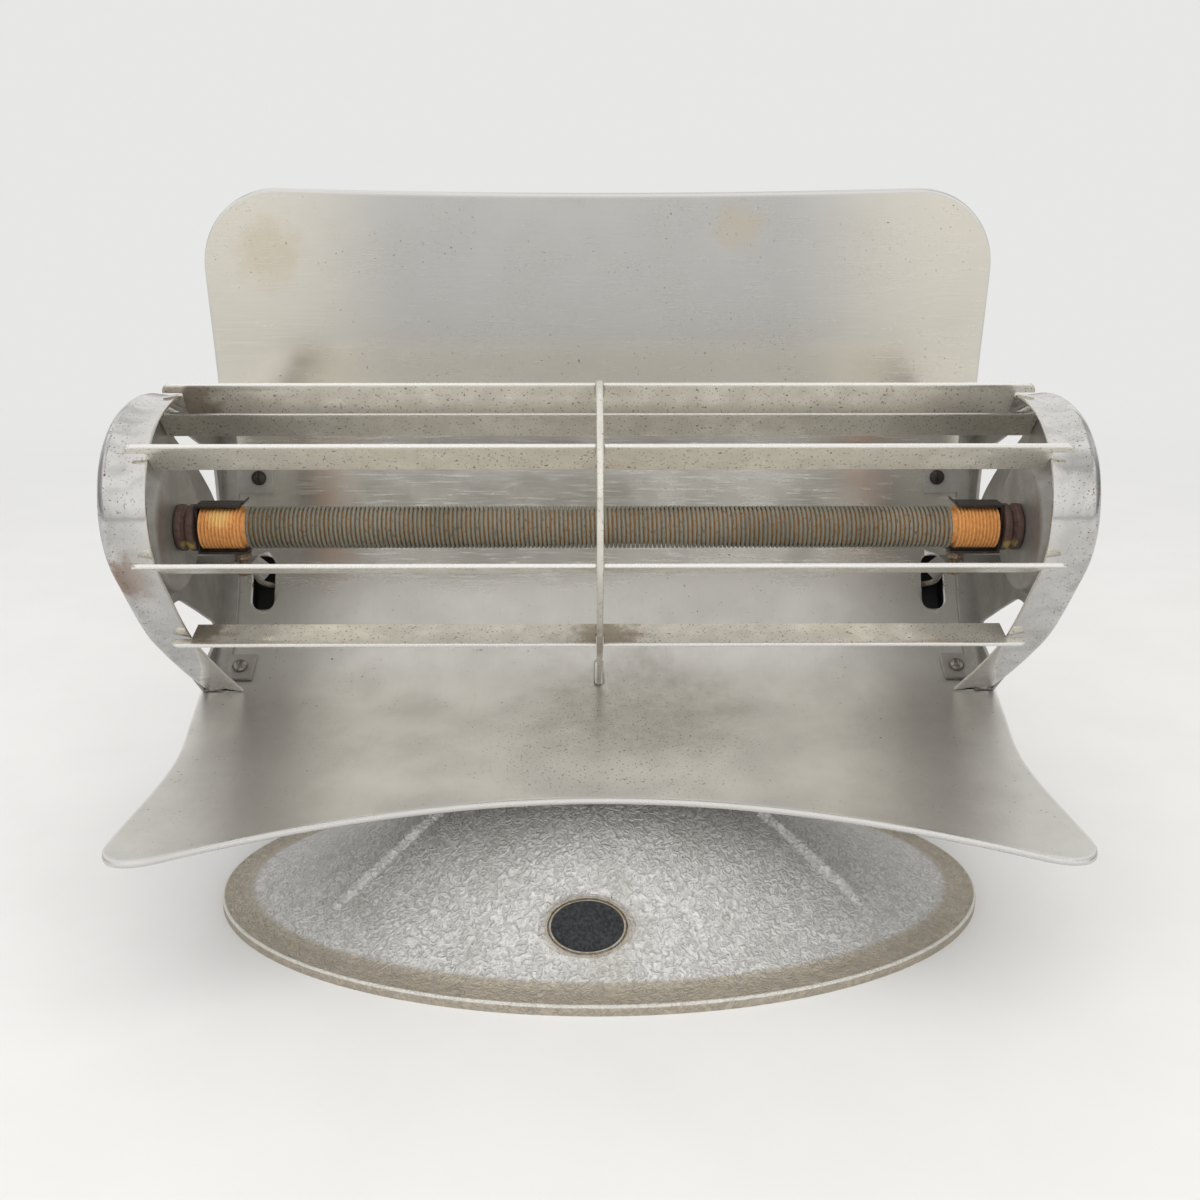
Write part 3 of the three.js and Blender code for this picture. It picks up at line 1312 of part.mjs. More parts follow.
function badgeSeat() {
  const half = domeHalf(BADGE_SHARE);
  const y = -half.y * Math.sqrt(1 - (BADGE_X / half.x) ** 2);
  const step = BADGE_TILT_STEP;
  const upper = domeHalf(BADGE_SHARE + step);
  const tilt = Math.atan2(domeRise(BADGE_SHARE + step) - domeRise(BADGE_SHARE), half.y - upper.y);
  return { x: BADGE_X, y, z: domeRise(BADGE_SHARE), aboutX: tilt };
}

function badgeOval(grow, low, high) {
  const shape = new THREE.Shape();
  shape.absellipse(0, 0, BADGE_HALF_X + grow, BADGE_HALF_UP + grow, 0, Math.PI * 2, false, 0);
  const geometry = new THREE.ExtrudeGeometry(shape, {
    depth: high - low,
    bevelEnabled: false,
    curveSegments: 16,
  });
  geometry.translate(0, 0, low);
  return toSolid(geometry);
}

function pivotLug(sign) {
  const from = sign * LUG_INNER_X;
  const to = sign * (LUG_INNER_X + LUG_THICK);
  const round = circlePoints(PIVOT_Y, PIVOT_Z, LUG_RADIUS, LUG_ROUND).slice(0, LUG_ROUND / 2 + 1);
  const foot = toPoints([
    [PIVOT_Y - LUG_RADIUS - LUG_FLARE, DOME_TOP_Z - DOME_WALL + LUG_ROOT],
    [PIVOT_Y + LUG_RADIUS + LUG_FLARE, DOME_TOP_Z - DOME_WALL + LUG_ROOT],
  ]);
  return plateAcross([...round, ...foot], from, to);
}

function pivotHole(radius, length) {
  const profile = [[-length, 0], [-length, radius], [length, radius], [length, 0]];
  return turnedAcross(profile, PIVOT_Y, PIVOT_Z, LARGE_ROUND);
}

function baseCasting() {
  const ribs = [-1, 1].flatMap((sideX) => [-1, 1].map((sideY) => domeRib(sideX, sideY)));
  const seat = badgeSeat();
  const pad = placed(badgeOval(BADGE_PAD_WALL, -DOME_WALL * BADGE_PAD_ROOT, BADGE_PAD_RISE), seat);
  const recess = placed(badgeOval(SEAT_GAP, BADGE_FLOOR, DOME_WALL), seat);
  const posts = SIDES.map(({ sign }) => {
    const top = skinHeight(PLATE_SCREW_X + PLATE_BOSS_RADIUS, 0) - DOME_WALL / 2;
    return rod(PLATE_BOSS_RADIUS, top - PLATE_THICK - SEAT_GAP, ROD_ROUND)
      .translate([sign * PLATE_SCREW_X, 0, PLATE_THICK + SEAT_GAP]);
  });
  const thread = rod(PLATE_SCREW_RADIUS + SEAT_GAP, PLATE_SCREW_LENGTH + CUT_OVER, SMALL_ROUND);
  const threads = SIDES.map(({ sign }) => thread.translate([sign * PLATE_SCREW_X, 0, 0]));
  const lugs = SIDES.map(({ sign }) => pivotLug(sign));
  const whole = joined(baseShell(), ...ribs, pad, ...posts, ...lugs);
  return cutFrom(whole, recess, ...threads, pivotHole(PIVOT_BOLT_RADIUS + PIVOT_FIT, YOKE_ARM_X * 2));
}

function badgePlate() {
  const low = BADGE_FLOOR + SEAT_GAP;
  return placed(badgeOval(0, low, low + BADGE_THICK), badgeSeat());
}

function bottomPlate() {
  const plate = plateOval(SEAT_GAP, 0, PLATE_THICK);
  const holes = SIDES.map(({ sign }) => turnedUp([
    [0, -CUT_OVER],
    [PLATE_SCREW_HEAD_RADIUS + SEAT_GAP, -CUT_OVER],
    [PLATE_SCREW_HEAD_RADIUS + SEAT_GAP, 0],
    [PLATE_SCREW_RADIUS + SEAT_GAP, PLATE_THICK],
    [PLATE_SCREW_RADIUS + SEAT_GAP, PLATE_THICK + CUT_OVER],
    [0, PLATE_THICK + CUT_OVER],
  ]).translate([sign * PLATE_SCREW_X, 0, 0]));
  return cutFrom(plate, ...holes);
}

function bottomScrew(sign) {
  const lift = PLATE_SCREW_SINK;
  return turnedUp([
    [0, lift],
    [PLATE_SCREW_HEAD_RADIUS, lift],
    [PLATE_SCREW_RADIUS, lift + PLATE_THICK],
    [PLATE_SCREW_RADIUS, PLATE_SCREW_LENGTH],
    [0, PLATE_SCREW_LENGTH],
  ], SMALL_ROUND).translate([sign * PLATE_SCREW_X, 0, 0]);
}

// ---------------------------------------------------------------- tilt yoke and pivot
const YOKE_ARM_X = LUG_INNER_X + LUG_THICK + WASHER_THICK + RUN_GAP;

// The yoke is a channel under the reflector's floor whose two arms straddle the base's lugs.
function tiltYoke() {
  const reach = YOKE_ARM_X + YOKE_THICK;
  const [low, high] = [-1, 1].map((side) => sectionAt('x', PIVOT_Y + side * YOKE_HALF_Y));
  const plate = plateAcross([
    ...sectionRun(low, high, BACK_OFF),
    ...sectionRun(high, low, BACK_OFF - YOKE_THICK),
  ], -reach, reach);
  const arms = SIDES.map(({ sign }) => {
    const round = circlePoints(PIVOT_Y, PIVOT_Z, LUG_RADIUS, LUG_ROUND).slice(LUG_ROUND / 2);
    const outline = [
      ...round,
      new THREE.Vector2(PIVOT_Y + LUG_RADIUS, PIVOT_Z),
      ...sectionRun(high - YOKE_SLOPE, low + YOKE_SLOPE, BACK_OFF - YOKE_THICK / 2),
    ];
    return plateAcross(outline, sign * YOKE_ARM_X, sign * reach);
  });
  return cutFrom(joined(plate, ...arms), pivotHole(PIVOT_BOLT_RADIUS + PIVOT_FIT, YOKE_ARM_X * 2));
}

function frictionWasher(sign) {
  const start = LUG_INNER_X + LUG_THICK + RUN_GAP / 2;
  const bore = PIVOT_BOLT_RADIUS + SEAT_GAP;
  const solid = turnedAcross([
    [start, bore],
    [start, WASHER_RADIUS],
    [start + WASHER_THICK, WASHER_RADIUS],
    [start + WASHER_THICK, bore],
    [start, bore],
  ], PIVOT_Y, PIVOT_Z, LARGE_ROUND);
  return mirroredTo(sign, solid);
}

const PIVOT_END_X = YOKE_ARM_X + YOKE_THICK + SEAT_GAP;

function pivotBolt() {
  return turnedAcross([
    [-PIVOT_END_X - BOLT_HEAD_THICK, 0],
    [-PIVOT_END_X - BOLT_HEAD_THICK, BOLT_HEAD_RADIUS - BOLT_HEAD_EASE],
    [-PIVOT_END_X - BOLT_HEAD_THICK + BOLT_HEAD_EASE, BOLT_HEAD_RADIUS],
    [-PIVOT_END_X, BOLT_HEAD_RADIUS],
    [-PIVOT_END_X, PIVOT_BOLT_RADIUS],
    [PIVOT_END_X + PIVOT_NUT_THICK + BOLT_END, PIVOT_BOLT_RADIUS],
    [PIVOT_END_X + PIVOT_NUT_THICK + BOLT_END, 0],
  ], PIVOT_Y, PIVOT_Z, LARGE_ROUND);
}

function pivotNut() {
  return hexNut(PIVOT_BOLT_RADIUS, BOLT_HEAD_RADIUS, PIVOT_NUT_THICK)
    .rotate([0, 90, 0])
    .translate([PIVOT_END_X, PIVOT_Y, PIVOT_Z]);
}

// ---------------------------------------------------------------- assembly
function baseGroup() {
  const group = new THREE.Group();
  group.add(piece('base_casting', baseCasting(), HAMMERED));
  group.add(piece('badge_plate', badgePlate(), BARE_PLATE));
  group.add(piece('bottom_plate', bottomPlate(), BLACK_STEEL));
  for (const { name, sign } of SIDES) {
    group.add(piece(`bottom_screw_${name}`, bottomScrew(sign), DULL_STEEL));
    group.add(piece(`friction_washer_${name}`, frictionWasher(sign), DULL_STEEL));
  }
  group.add(piece('pivot_bolt', pivotBolt(), DULL_STEEL));
  group.add(piece('pivot_nut', pivotNut(), DULL_STEEL));
  return group;
}

function headGroup() {
  const group = new THREE.Group();
  group.add(piece('reflector', reflector(), BRIGHT_SHEET));
  group.add(piece('tilt_yoke', tiltYoke(), ZINC_SHEET));
  group.add(piece('rear_cover', rearCover(), ZINC_SHEET));
  group.add(piece('terminal_block', terminalBlock(), BROWN_CERAMIC));
  group.add(piece('inlet_bush', inletBush(), RUBBER));
  group.add(piece('element_rod', elementRod(), FIRECLAY));
  group.add(piece('heating_winding', heatingWinding(), WOUND_WIRE));
  group.add(piece('guard_tie', guardTie(), BLADE_METAL));
  group.add(rearRail());
  for (const blade of BLADES) group.add(guardBlade(blade));
  for (const { name, sign } of SIDES) {
    group.add(piece(`end_frame_${name}`, endFrame(sign), CHROME));
    group.add(piece(`end_cap_${name}`, endCap(sign), BROWN_CERAMIC));
    group.add(piece(`element_clip_${name}`, elementClip(sign), BLACK_STEEL));
    group.add(piece(`cap_bolt_${name}`, capBolt(sign), DULL_STEEL));
    group.add(piece(`cap_nut_${name}`, capNut(sign), DULL_STEEL));
    group.add(piece(`terminal_screw_${name}`, terminalScrew(sign), DULL_STEEL));
    group.add(piece(`terminal_nut_${name}`, terminalNut(sign), DULL_STEEL));
    group.add(piece(`terminal_shield_${name}`, terminalShield(sign), ZINC_SHEET));
    group.add(piece(`lead_${name}`, lead(sign), WIRE_SLEEVE));
    group.add(piece(`cover_screw_${name}`, coverScrew(sign), DULL_STEEL));
    for (const screw of FRAME_SCREWS) {
      group.add(piece(`frame_screw_${screw.name}_${name}`, frameScrew(sign, screw), DULL_STEEL));
      group.add(piece(`frame_nut_${screw.name}_${name}`, frameNut(sign, screw), DULL_STEEL));
    }
  }
  return group;
}

const heater = new THREE.Group();
heater.add(baseGroup(), headGroup());

export default heater;
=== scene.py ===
import math

import bmesh
import bpy
from mathutils import Matrix, Vector


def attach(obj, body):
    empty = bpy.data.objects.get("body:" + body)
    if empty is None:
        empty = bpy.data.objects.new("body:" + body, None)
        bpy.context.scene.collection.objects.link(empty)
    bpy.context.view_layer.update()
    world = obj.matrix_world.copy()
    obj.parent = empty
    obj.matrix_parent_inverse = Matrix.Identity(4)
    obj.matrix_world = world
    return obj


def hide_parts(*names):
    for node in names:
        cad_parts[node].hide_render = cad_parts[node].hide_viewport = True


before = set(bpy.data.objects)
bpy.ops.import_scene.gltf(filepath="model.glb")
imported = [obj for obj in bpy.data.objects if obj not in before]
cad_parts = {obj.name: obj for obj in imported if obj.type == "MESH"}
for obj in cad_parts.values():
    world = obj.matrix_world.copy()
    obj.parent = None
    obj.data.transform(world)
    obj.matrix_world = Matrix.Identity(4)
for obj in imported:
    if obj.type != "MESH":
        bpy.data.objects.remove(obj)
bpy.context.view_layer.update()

# Sizes are in millimetres and angles in degrees; a mesh is scaled to metres when it is made.
MM = 0.001
MIRRORED = (("left", -1), ("right", 1))

# Meshes: steps round turned pieces, angles from which edges are sharp, and the least X part of
# the normal of a face that stays flat
ROUND_STEPS = 64
SMALL_STEPS = 32
WINDING_STEPS = 16
SHARP = 35.0
ROUND_SHARP = 50.0
SQUARE_TO_X = 0.999
EDGE_STEPS = (0.0, 0.4, 0.8, 1.2, 1.8, 2.6)
BEAD_STEPS = 8
SHEET_STEPS = 118

# Camera and stage
CAMERA_PLACE = (-2.2, -432.6, 259.67)
CAMERA_PITCH = 17.62
CAMERA_PAN = 0.318
CAMERA_LENS = 36.0
FLOOR_HALF = 6000.0
FLOOR_NEAR = 350.0
FLOOR_FAR = 1500.0
BACKDROP_COLOR = (0.80, 0.80, 0.795)
ROOM_DARK = (0.10, 0.105, 0.115)
ROOM_LIGHT = (0.98, 0.97, 0.95)
GLOSSY_LEVEL = 0.8
FLOOR_IN_METAL = (0.50, 0.50, 0.495)

# Reflector section: lip, floor, bend and wall in (Y, Z)
LIP = (-100.0, 63.0)
FLOOR_END = (20.0, 67.5)
BEND_LOW_PULL = (62.0, 69.5)
BEND_HIGH_PULL = (84.0, 100.0)
WALL_START = (89.5, 160.0)
WALL_TOP = (92.0, 273.0)
LIP_HALF = 163.5
WAIST_HALF = 158.8
WAIST_Y = -28.0
SEAT_HALF = 167.5
SEAT_Y = 43.0
WALL_HALF = 163.8
WALL_WIDE_Z = 180.0
TOP_HALF = 165.6
TOP_WIDE_Z = 255.0
SHEET = 1.0
HEM_THICK = 2.5
HEM_WIDTH = 2.6
LIP_SWEEP = 49.0
TOP_SWEEP = 3.0
LIP_CORNER = 20.0
TOP_CORNER = 33.0
SLOT_X = 148.0
SLOT_Z = 106.0
SLOT_WIDTH = 9.7
SLOT_LENGTH = 24.0
SLOT_CORNER = 3.5
SEAT_GAP = 0.3

# Straw-coloured heat tints of the bright face: a centre and a radius
STRAW_TINTS = (((-138, 91, 247), 19.0), ((58, 91, 256), 13.0))

# Roughness that the reflector's floor has on top of the wall's
FLOOR_HAZE = 0.17

# Stains of the rod and the caps: a centre, a radius, its raggedness and grain, and a colour
ROD_STAIN = ((-137, -10, 157), 6.0, 3.0, 2.0, (0.72, 0.45, 0.16))
CAP_STAINS = (
    ((-149, -12, 146.5), 3.4, 1.2, 2.0, (0.34, 0.26, 0.07)),
    ((149, -12, 146.5), 3.4, 1.2, 2.0, (0.34, 0.26, 0.07)),
)

# End frame
FRAME_SHEET = 1.4
FRAME_OUTER_X = 166.5
BAND_INNER_X = 149.3
BAND_BEND = 4.0
BAND_FOOT_Y = 37.0
BAND_TOP_Z = 176.0
BAND_LINE = (
    (14, 87), (-4.6, 101.6), (-18.8, 114.2), (-35.2, 135), (-45, 150), (-47.5, 165),
    (-41.5, 183), (-28.5, 194), (-12, 199), (4, 199.6), (20, 196.4), (42, 189.5), (66, 182),
)
UPPER_OPENING = (
    (31, 179.5), (36, 181.5), (46, 178.5), (60, 172), (74, 166), (80, 160),
    (80.5, 150), (80, 138), (77, 139), (70, 148.5), (57.5, 160.5), (42, 171.5),
)
LOWER_OPENING = (
    (4, 117), (18, 117.5), (38, 106), (58, 94), (60, 89),
    (56, 85.5), (45, 82), (38, 82), (22, 93), (10, 104),
)
BOSS_DEPTH = 11.4
BOSS_PLATEAU = 23.0
BOSS_FOOT = 28.5
BOSS_FLANGE = 1.7
BOSS_EASE = 1.5
BOSS_LAP = 0.1
WEB_LAP = 0.2
FOOT_WIDTH = 8.0
TAB_WIDTH = 14.0
UPPER_SCREW_X = 149.0
UPPER_SCREW_Z = 151.0
LOWER_SCREW_X = 153.5
LOWER_SCREW_Y = 50.0
SCREW_RADIUS = 1.8
SCREW_HEAD = 3.2
SCREW_HEAD_THICK = 1.9
SCREW_LENGTH = 8.0
GROOVE_HALF = 0.45
GROOVE_CUT = 1.6
SLOT_CUT = 14.0
TIE_CUT = 12.0

# Guard: each blade's outer edge in (Y, Z) and the angle at which it points inwards
BLADES = (
    ("guard_blade_top", -2.7, 203.9, -61.0),
    ("guard_blade_upper", -45.5, 189.6, -46.6),
    ("guard_blade_lower", -51.0, 150.4, -24.0),
    ("guard_blade_bottom", -22.4, 112.0, 16.5),
)
RAIL_PLACE = (15.6, 190.6, -48.0)
BLADE_HALF = 156.0
BLADE_WIDTH = 13.0
BLADE_THICK = 1.6
BLADE_END = 3.6
BLADE_OVERHANG = 3.8
BLADE_EASE = 0.55
TIE_THICK = 2.3
TIE_DEPTH = 6.0
TIE_PROUD = 1.2
TIE_NOTCH_EASE = 1.6
TIE_FOOT_Y = 48.0
TIE_FOOT_DROP = 3.0

# Scorched places of the blades: a centre and a radius
SCORCHES = (((2, -20, 114), 20.0), ((-146, 4, 198), 15.0), ((-147, -14, 113), 13.0))

# Element
ELEMENT_Y = -5.0
ELEMENT_Z = 152.0
ROD_HALF = 145.2
ROD_RADIUS = 7.8
ROD_CORE = 6.2
ROD_BORE = 3.4
ROD_BARE_END = 15.4
ROD_RIBS = 12
RIB_DEPTH = 0.7
WINDING_TURNS = 160
WINDING_RADIUS = 7.25
WINDING_WIRE = 0.62
WINDING_END_GAP = 1.2
CAP_INNER_X = 146.7
CAP_OUTER_X = 153.4
CAP_RADIUS = 8.6
CAP_WAIST = 7.3
CAP_BORE = 2.0
CLIP_ARM_Z = 8.2
CLIP_SHEET = 0.9
TERMINAL_X = 131.4
TERMINAL_RADIUS = 1.6
TERMINAL_HEAD = 3.0
TERMINAL_HEAD_THICK = 2.0
TERMINAL_DROP = 9.0
LEAD_RADIUS = 1.2
BLOCK_LENGTH = 32.0

# Rear cover
COVER_DEPTH = 16.0
COVER_HIGH_Z = 128.0
COVER_SCREW_X = 60.0
COVER_SCREW_RISE = 4.0
COVER_WALL = 1.0
INLET_X = 40.0
INLET_Z = 103.0
INLET_RADIUS = 6.0
INLET_HOLE = 3.8
INLET_FLANGE = 8.2

# Base
BASE_HALF = (151.7, 85.0)
RIM_WIDTH = 11.0
RIM_THICK = 4.6
DOME_TOP_Z = 49.0
DOME_TOP_HALF = (44.0, 25.0)
DOME_WALL = 4.0
DOME_EASE = 0.045
RIB_INNER = (52.0, 9.0)
RIB_OUTER = (102.0, 36.0)
RIB_HALF_WIDTH = 2.4
RIB_HEIGHT = 3.5
PLATE_LEDGE = 3.0
PLATE_THICK = 1.5
BADGE_HALF = (14.0, 9.6)
BADGE_X = -4.6
BADGE_SHARE = 0.33
BADGE_THICK = 1.4
BADGE_FLOOR = 0.2
PAD_WALL = 1.2
PAD_RISE = 1.4
PIVOT_Y = 12.0
PIVOT_Z = 57.5
PIVOT_BORE = 3.06
LUG_RADIUS = 5.8
LUG_THICK = 6.0
LUG_INNER_X = 20.0


def lerp(a, b, share):
    return a + (b - a) * share


def clamp(value, low=0.0, high=1.0):
    return max(low, min(high, value))


def smoothstep(value, low, high):
    share = clamp((value - low) / (high - low))
    return share * share * (3 - 2 * share)


def spread(start, end, steps):
    return [lerp(start, end, i / steps) for i in range(steps + 1)]


# ---- lines in a plane
class Line:
    """A line through points of a plane, read by the distance along it."""

    def __init__(self, points):
        self.points = [Vector(point) for point in points]
        self.reach = [0.0]
        for a, b in zip(self.points, self.points[1:]):
            self.reach.append(self.reach[-1] + (b - a).length)
        self.length = self.reach[-1]

    def span(self, s):
        for i in range(1, len(self.reach)):
            if s <= self.reach[i]:
                return i - 1
        return len(self.reach) - 2

    def at(self, s, off=0.0):
        s = clamp(s, 0.0, self.length)
        i = self.span(s)
        a, b = self.points[i], self.points[i + 1]
        along = (b - a).normalized()
        point = a + along * (s - self.reach[i])
        return Vector((point.x - along.y * off, point.y + along.x * off))

    def angle(self, s):
        i = self.span(clamp(s, 0.0, self.length))
        along = self.points[i + 1] - self.points[i]
        return math.degrees(math.atan2(along.y, along.x))

    def where(self, axis, value):
        low, high = 0.0, self.length
        for _ in range(40):
            middle = (low + high) / 2
            if self.at(middle)[axis] < value:
                low = middle
            else:
                high = middle
        return low

    def run(self, start, end, off, steps=24):
        return [self.at(s, off) for s in spread(start, end, steps)]


def bezier(a, b, c, d, steps):
    points = []
    for t in spread(0.0, 1.0, steps):
        u = 1 - t
        weights = (u * u * u, 3 * u * u * t, 3 * u * t * t, t * t * t)
        points.append([sum(w * p[k] for w, p in zip(weights, (a, b, c, d))) for k in (0, 1)])
    return points


def catmull(points, steps):
    """A smooth centripetal curve through points of any dimension."""
    given = [Vector(point) for point in points]
    given = [given[0] * 2 - given[1], *given, given[-1] * 2 - given[-2]]
    curve = []
    for i in range(1, len(given) - 2):
        p = given[i - 1:i + 3]
        knots = [0.0]
        for a, b in zip(p, p[1:]):
            knots.append(knots[-1] + math.sqrt((b - a).length))
        for j in range(steps):
            curve.append(catmull_point(p, knots, lerp(knots[1], knots[2], j / steps)))
    return [*curve, given[-2]]


def catmull_point(points, knots, t):
    level = points
    for lows, highs in ((knots, knots[1:]), (knots, knots[2:]), (knots[1:], knots[2:])):
        level = [
            lerp(a, b, (t - low) / (high - low))
            for a, b, low, high in zip(level, level[1:], lows, highs)
        ]
    return level[0]


def eased(points, radius, steps=5, closed=True):
    """The outline with each corner turned round a radius, where its sides leave room."""
    corners = [Vector(point) for point in points]
    count = len(corners)
    line = []
    for i, corner in enumerate(corners):
        if not closed and i in (0, count - 1):
            line.append(corner)
            continue
        before, after = corners[i - 1], corners[(i + 1) % count]
        back, ahead = before - corner, after - corner
        if back.length < 1e-6 or ahead.length < 1e-6:
            continue
        reach = min(radius, back.length * 0.45, ahead.length * 0.45)
        start = corner + back.normalized() * reach
        end = corner + ahead.normalized() * reach
        for t in spread(0.0, 1.0, steps):
            line.append(start * (1 - t) ** 2 + corner * 2 * t * (1 - t) + end * t * t)
    return line


def arc(x, y, radius, start, end, steps):
    """Points round a centre from one angle to another."""
    angles = [math.radians(turn) for turn in spread(start, end, steps)]
    return [(x + radius * math.cos(angle), y + radius * math.sin(angle)) for angle in angles]


def oval(half_x, half_y, steps=96):
    turns = [2 * math.pi * i / steps for i in range(steps)]
    return [(half_x * math.cos(turn), half_y * math.sin(turn)) for turn in turns]


def rounded_rectangle(half_x, half_y, corner):
    corners = [(half_x, -half_y), (half_x, half_y), (-half_x, half_y), (-half_x, -half_y)]
    return eased(corners, corner * 1.4, 8)


section = Line([LIP, *bezier(FLOOR_END, BEND_LOW_PULL, BEND_HIGH_PULL, WALL_START, 72), WALL_TOP])
SLOT_S = section.where(1, SLOT_Z)
BAND_FOOT_S = section.where(0, BAND_FOOT_Y)
BAND_TOP_S = section.where(1, BAND_TOP_Z)
TIE_FOOT_S = section.where(0, TIE_FOOT_Y)
UPPER_SCREW_S = section.where(1, UPPER_SCREW_Z)
LOWER_SCREW_S = section.where(0, LOWER_SCREW_Y)
COVER_SCREW_S = section.where(1, COVER_HIGH_Z + COVER_SCREW_RISE)
FOOT_OFF = SEAT_GAP
FOOT_TOP = SEAT_GAP + FRAME_SHEET
WIDTHS = (
    (0.0, LIP_HALF),
    (section.where(0, WAIST_Y), WAIST_HALF),
    (section.where(0, SEAT_Y), SEAT_HALF),
    (section.where(1, WALL_WIDE_Z), WALL_HALF),
    (section.where(1, TOP_WIDE_Z), TOP_HALF),
    (section.length, TOP_HALF),
)


# ---- places
def turned_about_x(degrees, place=(0.0, 0.0, 0.0)):
    return Matrix.Translation(Vector(place)) @ Matrix.Rotation(math.radians(degrees), 4, "X")


def across(x):
    """Takes a plate drawn in (Y, Z) to its place across X."""
    return Matrix(((0, 0, 1, x), (1, 0, 0, 0), (0, 1, 0, 0), (0, 0, 0, 1)))


def on_section(x, s, off=0.0):
    """Local Z leaves the reflector's bright face at an arc length of its section."""
    point = section.at(s, off)
    return turned_about_x(section.angle(s), (x, point.x, point.y))


def along_x(x, y, z, sign=1):
    """Local Z points along X, outwards on the given side."""
    turn = Matrix.Rotation(math.radians(90.0 * sign), 4, "Y")
    return Matrix.Translation(Vector((x, y, z))) @ turn


# ---- mesh making
class Shell:
    """Closed surfaces gathered into one mesh, with a value at each vertex for worn places and painted
    highlights.
    """

    def __init__(self):
        self.points = []
        self.faces = []
        self.finishes = []
        self.wear = []

    def add(self, points, faces, place=None, finish=0, wear=None):
        start = len(self.points)
        for point in points:
            local = Vector(point)
            self.wear.append(wear(local) if wear else 0.0)
            self.points.append(place @ local if place else local)
        for face in faces:
            self.faces.append([start + i for i in face])
            self.finishes.append(finish)
        return self

    def mirrored(self, sign):
        for point in self.points:
            point.x *= sign
        return self

    def to_object(self, name, materials, sharp=SHARP):
        mesh = bpy.data.meshes.new(name)
        mesh.from_pydata([point * MM for point in self.points], [], self.faces)
        mesh.attributes.new("wear", "FLOAT", "POINT").data.foreach_set("value", self.wear)
        for face, finish in zip(mesh.polygons, self.finishes):
            face.material_index = finish
        for made in materials:
            mesh.materials.append(made)
        tidy_mesh(mesh, sharp)
        return linked(name, mesh)

    def as_piece(self, name, made, body, slot, node, sharp=ROUND_SHARP):
        return seat(self.to_object(name, [made], sharp), body, slot, node)


def tidy_mesh(mesh, sharp):
    work = bmesh.new()
    work.from_mesh(mesh)
    bmesh.ops.remove_doubles(work, verts=work.verts, dist=2e-7)
    bmesh.ops.dissolve_degenerate(work, edges=work.edges, dist=1e-7)
    bmesh.ops.recalc_face_normals(work, faces=work.faces)
    work.to_mesh(mesh)
    work.free()
    smooth_mesh(mesh, sharp)


def smooth_mesh(mesh, sharp):
    mesh.polygons.foreach_set("use_smooth", [True] * len(mesh.polygons))
    mesh.set_sharp_from_angle(angle=math.radians(sharp))
    mesh.update()


def flat_sides(made):
    """Faces square to X stay flat, so that the curved edges beside them don't shade across them."""
    for face in made.data.polygons:
        face.use_smooth = abs(face.normal.x) < SQUARE_TO_X
    return made


def linked(name, data):
    made = bpy.data.objects.new(name, data)
    bpy.context.scene.collection.objects.link(made)
    return made


def stacked(rings, closed_stack=False, capped=True):
    """Faces over rings of equal length, each ring closed on itself."""
    count = len(rings[0])
    points = [point for ring in rings for point in ring]
    faces = []
    levels = len(rings)
    for k in range(levels if closed_stack else levels - 1):
        low, high = k * count, ((k + 1) % levels) * count
        for i in range(count):
            j = (i + 1) % count
            faces.append((low + i, low + j, high + j, high + i))
    if capped and not closed_stack:
        faces.append(tuple(range(count - 1, -1, -1)))
        faces.append(tuple(range((levels - 1) * count, levels * count)))
    return points, faces


def turned(profile, steps=ROUND_STEPS):
    """A profile of (radius, height) turned about Z; it closes on itself or ends on the axis."""
    rings = [[(x, y, height) for x, y in oval(radius, radius, steps)] for radius, height in profile]
    return stacked(rings, closed_stack=profile[0][0] > 1e-6, capped=False)


def swept(line, radius, sides):
    """A round tube along a line in space."""
    points = [Vector(point) for point in line]
    rings = []
    across_line = None
    for i, point in enumerate(points):
        along = points[min(i + 1, len(points) - 1)] - points[max(i - 1, 0)]
        along.normalize()
        if across_line is None:
            helper = Vector((0, 0, 1)) if abs(along.z) < 0.9 else Vector((1, 0, 0))
            across_line = along.cross(helper).normalized()
        across_line = (across_line - along * across_line.dot(along)).normalized()
        other = along.cross(across_line)
        ring = []
        for k in range(sides):
            turn = 2 * math.pi * k / sides
            ring.append(point + across_line * radius * math.cos(turn) + other * radius * math.sin(turn))
        rings.append(ring)
    return stacked(rings)


def flat_plate(outlines, thick, ease):
    """A plate about the plane Z = 0 with rounded edges; the outlines after the first are holes."""
    curve = bpy.data.curves.new("plate", "CURVE")
    curve.dimensions = "2D"
    curve.fill_mode = "BOTH"
    curve.extrude = thick / 2 - ease
    curve.bevel_depth = ease
    curve.bevel_resolution = 2
    curve.offset = -ease
    for outline in outlines:
        spline = curve.splines.new("POLY")
        spline.points.add(len(outline) - 1)
        for place, point in zip(spline.points, outline):
            place.co = (point[0], point[1], 0.0, 1.0)
        spline.use_cyclic_u = True
    drawn = bpy.data.objects.new("plate", curve)
    mesh = bpy.data.meshes.new_from_object(drawn)
    bpy.data.objects.remove(drawn)
    bpy.data.curves.remove(curve)
    return taken_from(mesh)


def taken_from(mesh):
    """The points and faces of a mesh, which is then removed."""
    points = [vertex.co.copy() for vertex in mesh.vertices]
    faces = [tuple(face.vertices) for face in mesh.polygons]
    bpy.data.meshes.remove(mesh)
    return points, faces


def cut(made, cutters):
    """Takes the cutters out of an object and removes them."""
    for cutter in cutters:
        step = made.modifiers.new("cut", "BOOLEAN")
        step.operation = "DIFFERENCE"
        step.solver = "EXACT"
        step.object = cutter
    bpy.context.view_layer.update()
    graph = bpy.context.evaluated_depsgraph_get()
    mesh = bpy.data.meshes.new_from_object(made.evaluated_get(graph))
    old = made.data
    made.modifiers.clear()
    made.data = mesh
    bpy.data.meshes.remove(old)
    mesh.name = made.name
    for cutter in cutters:
        bpy.data.objects.remove(cutter)
    return made


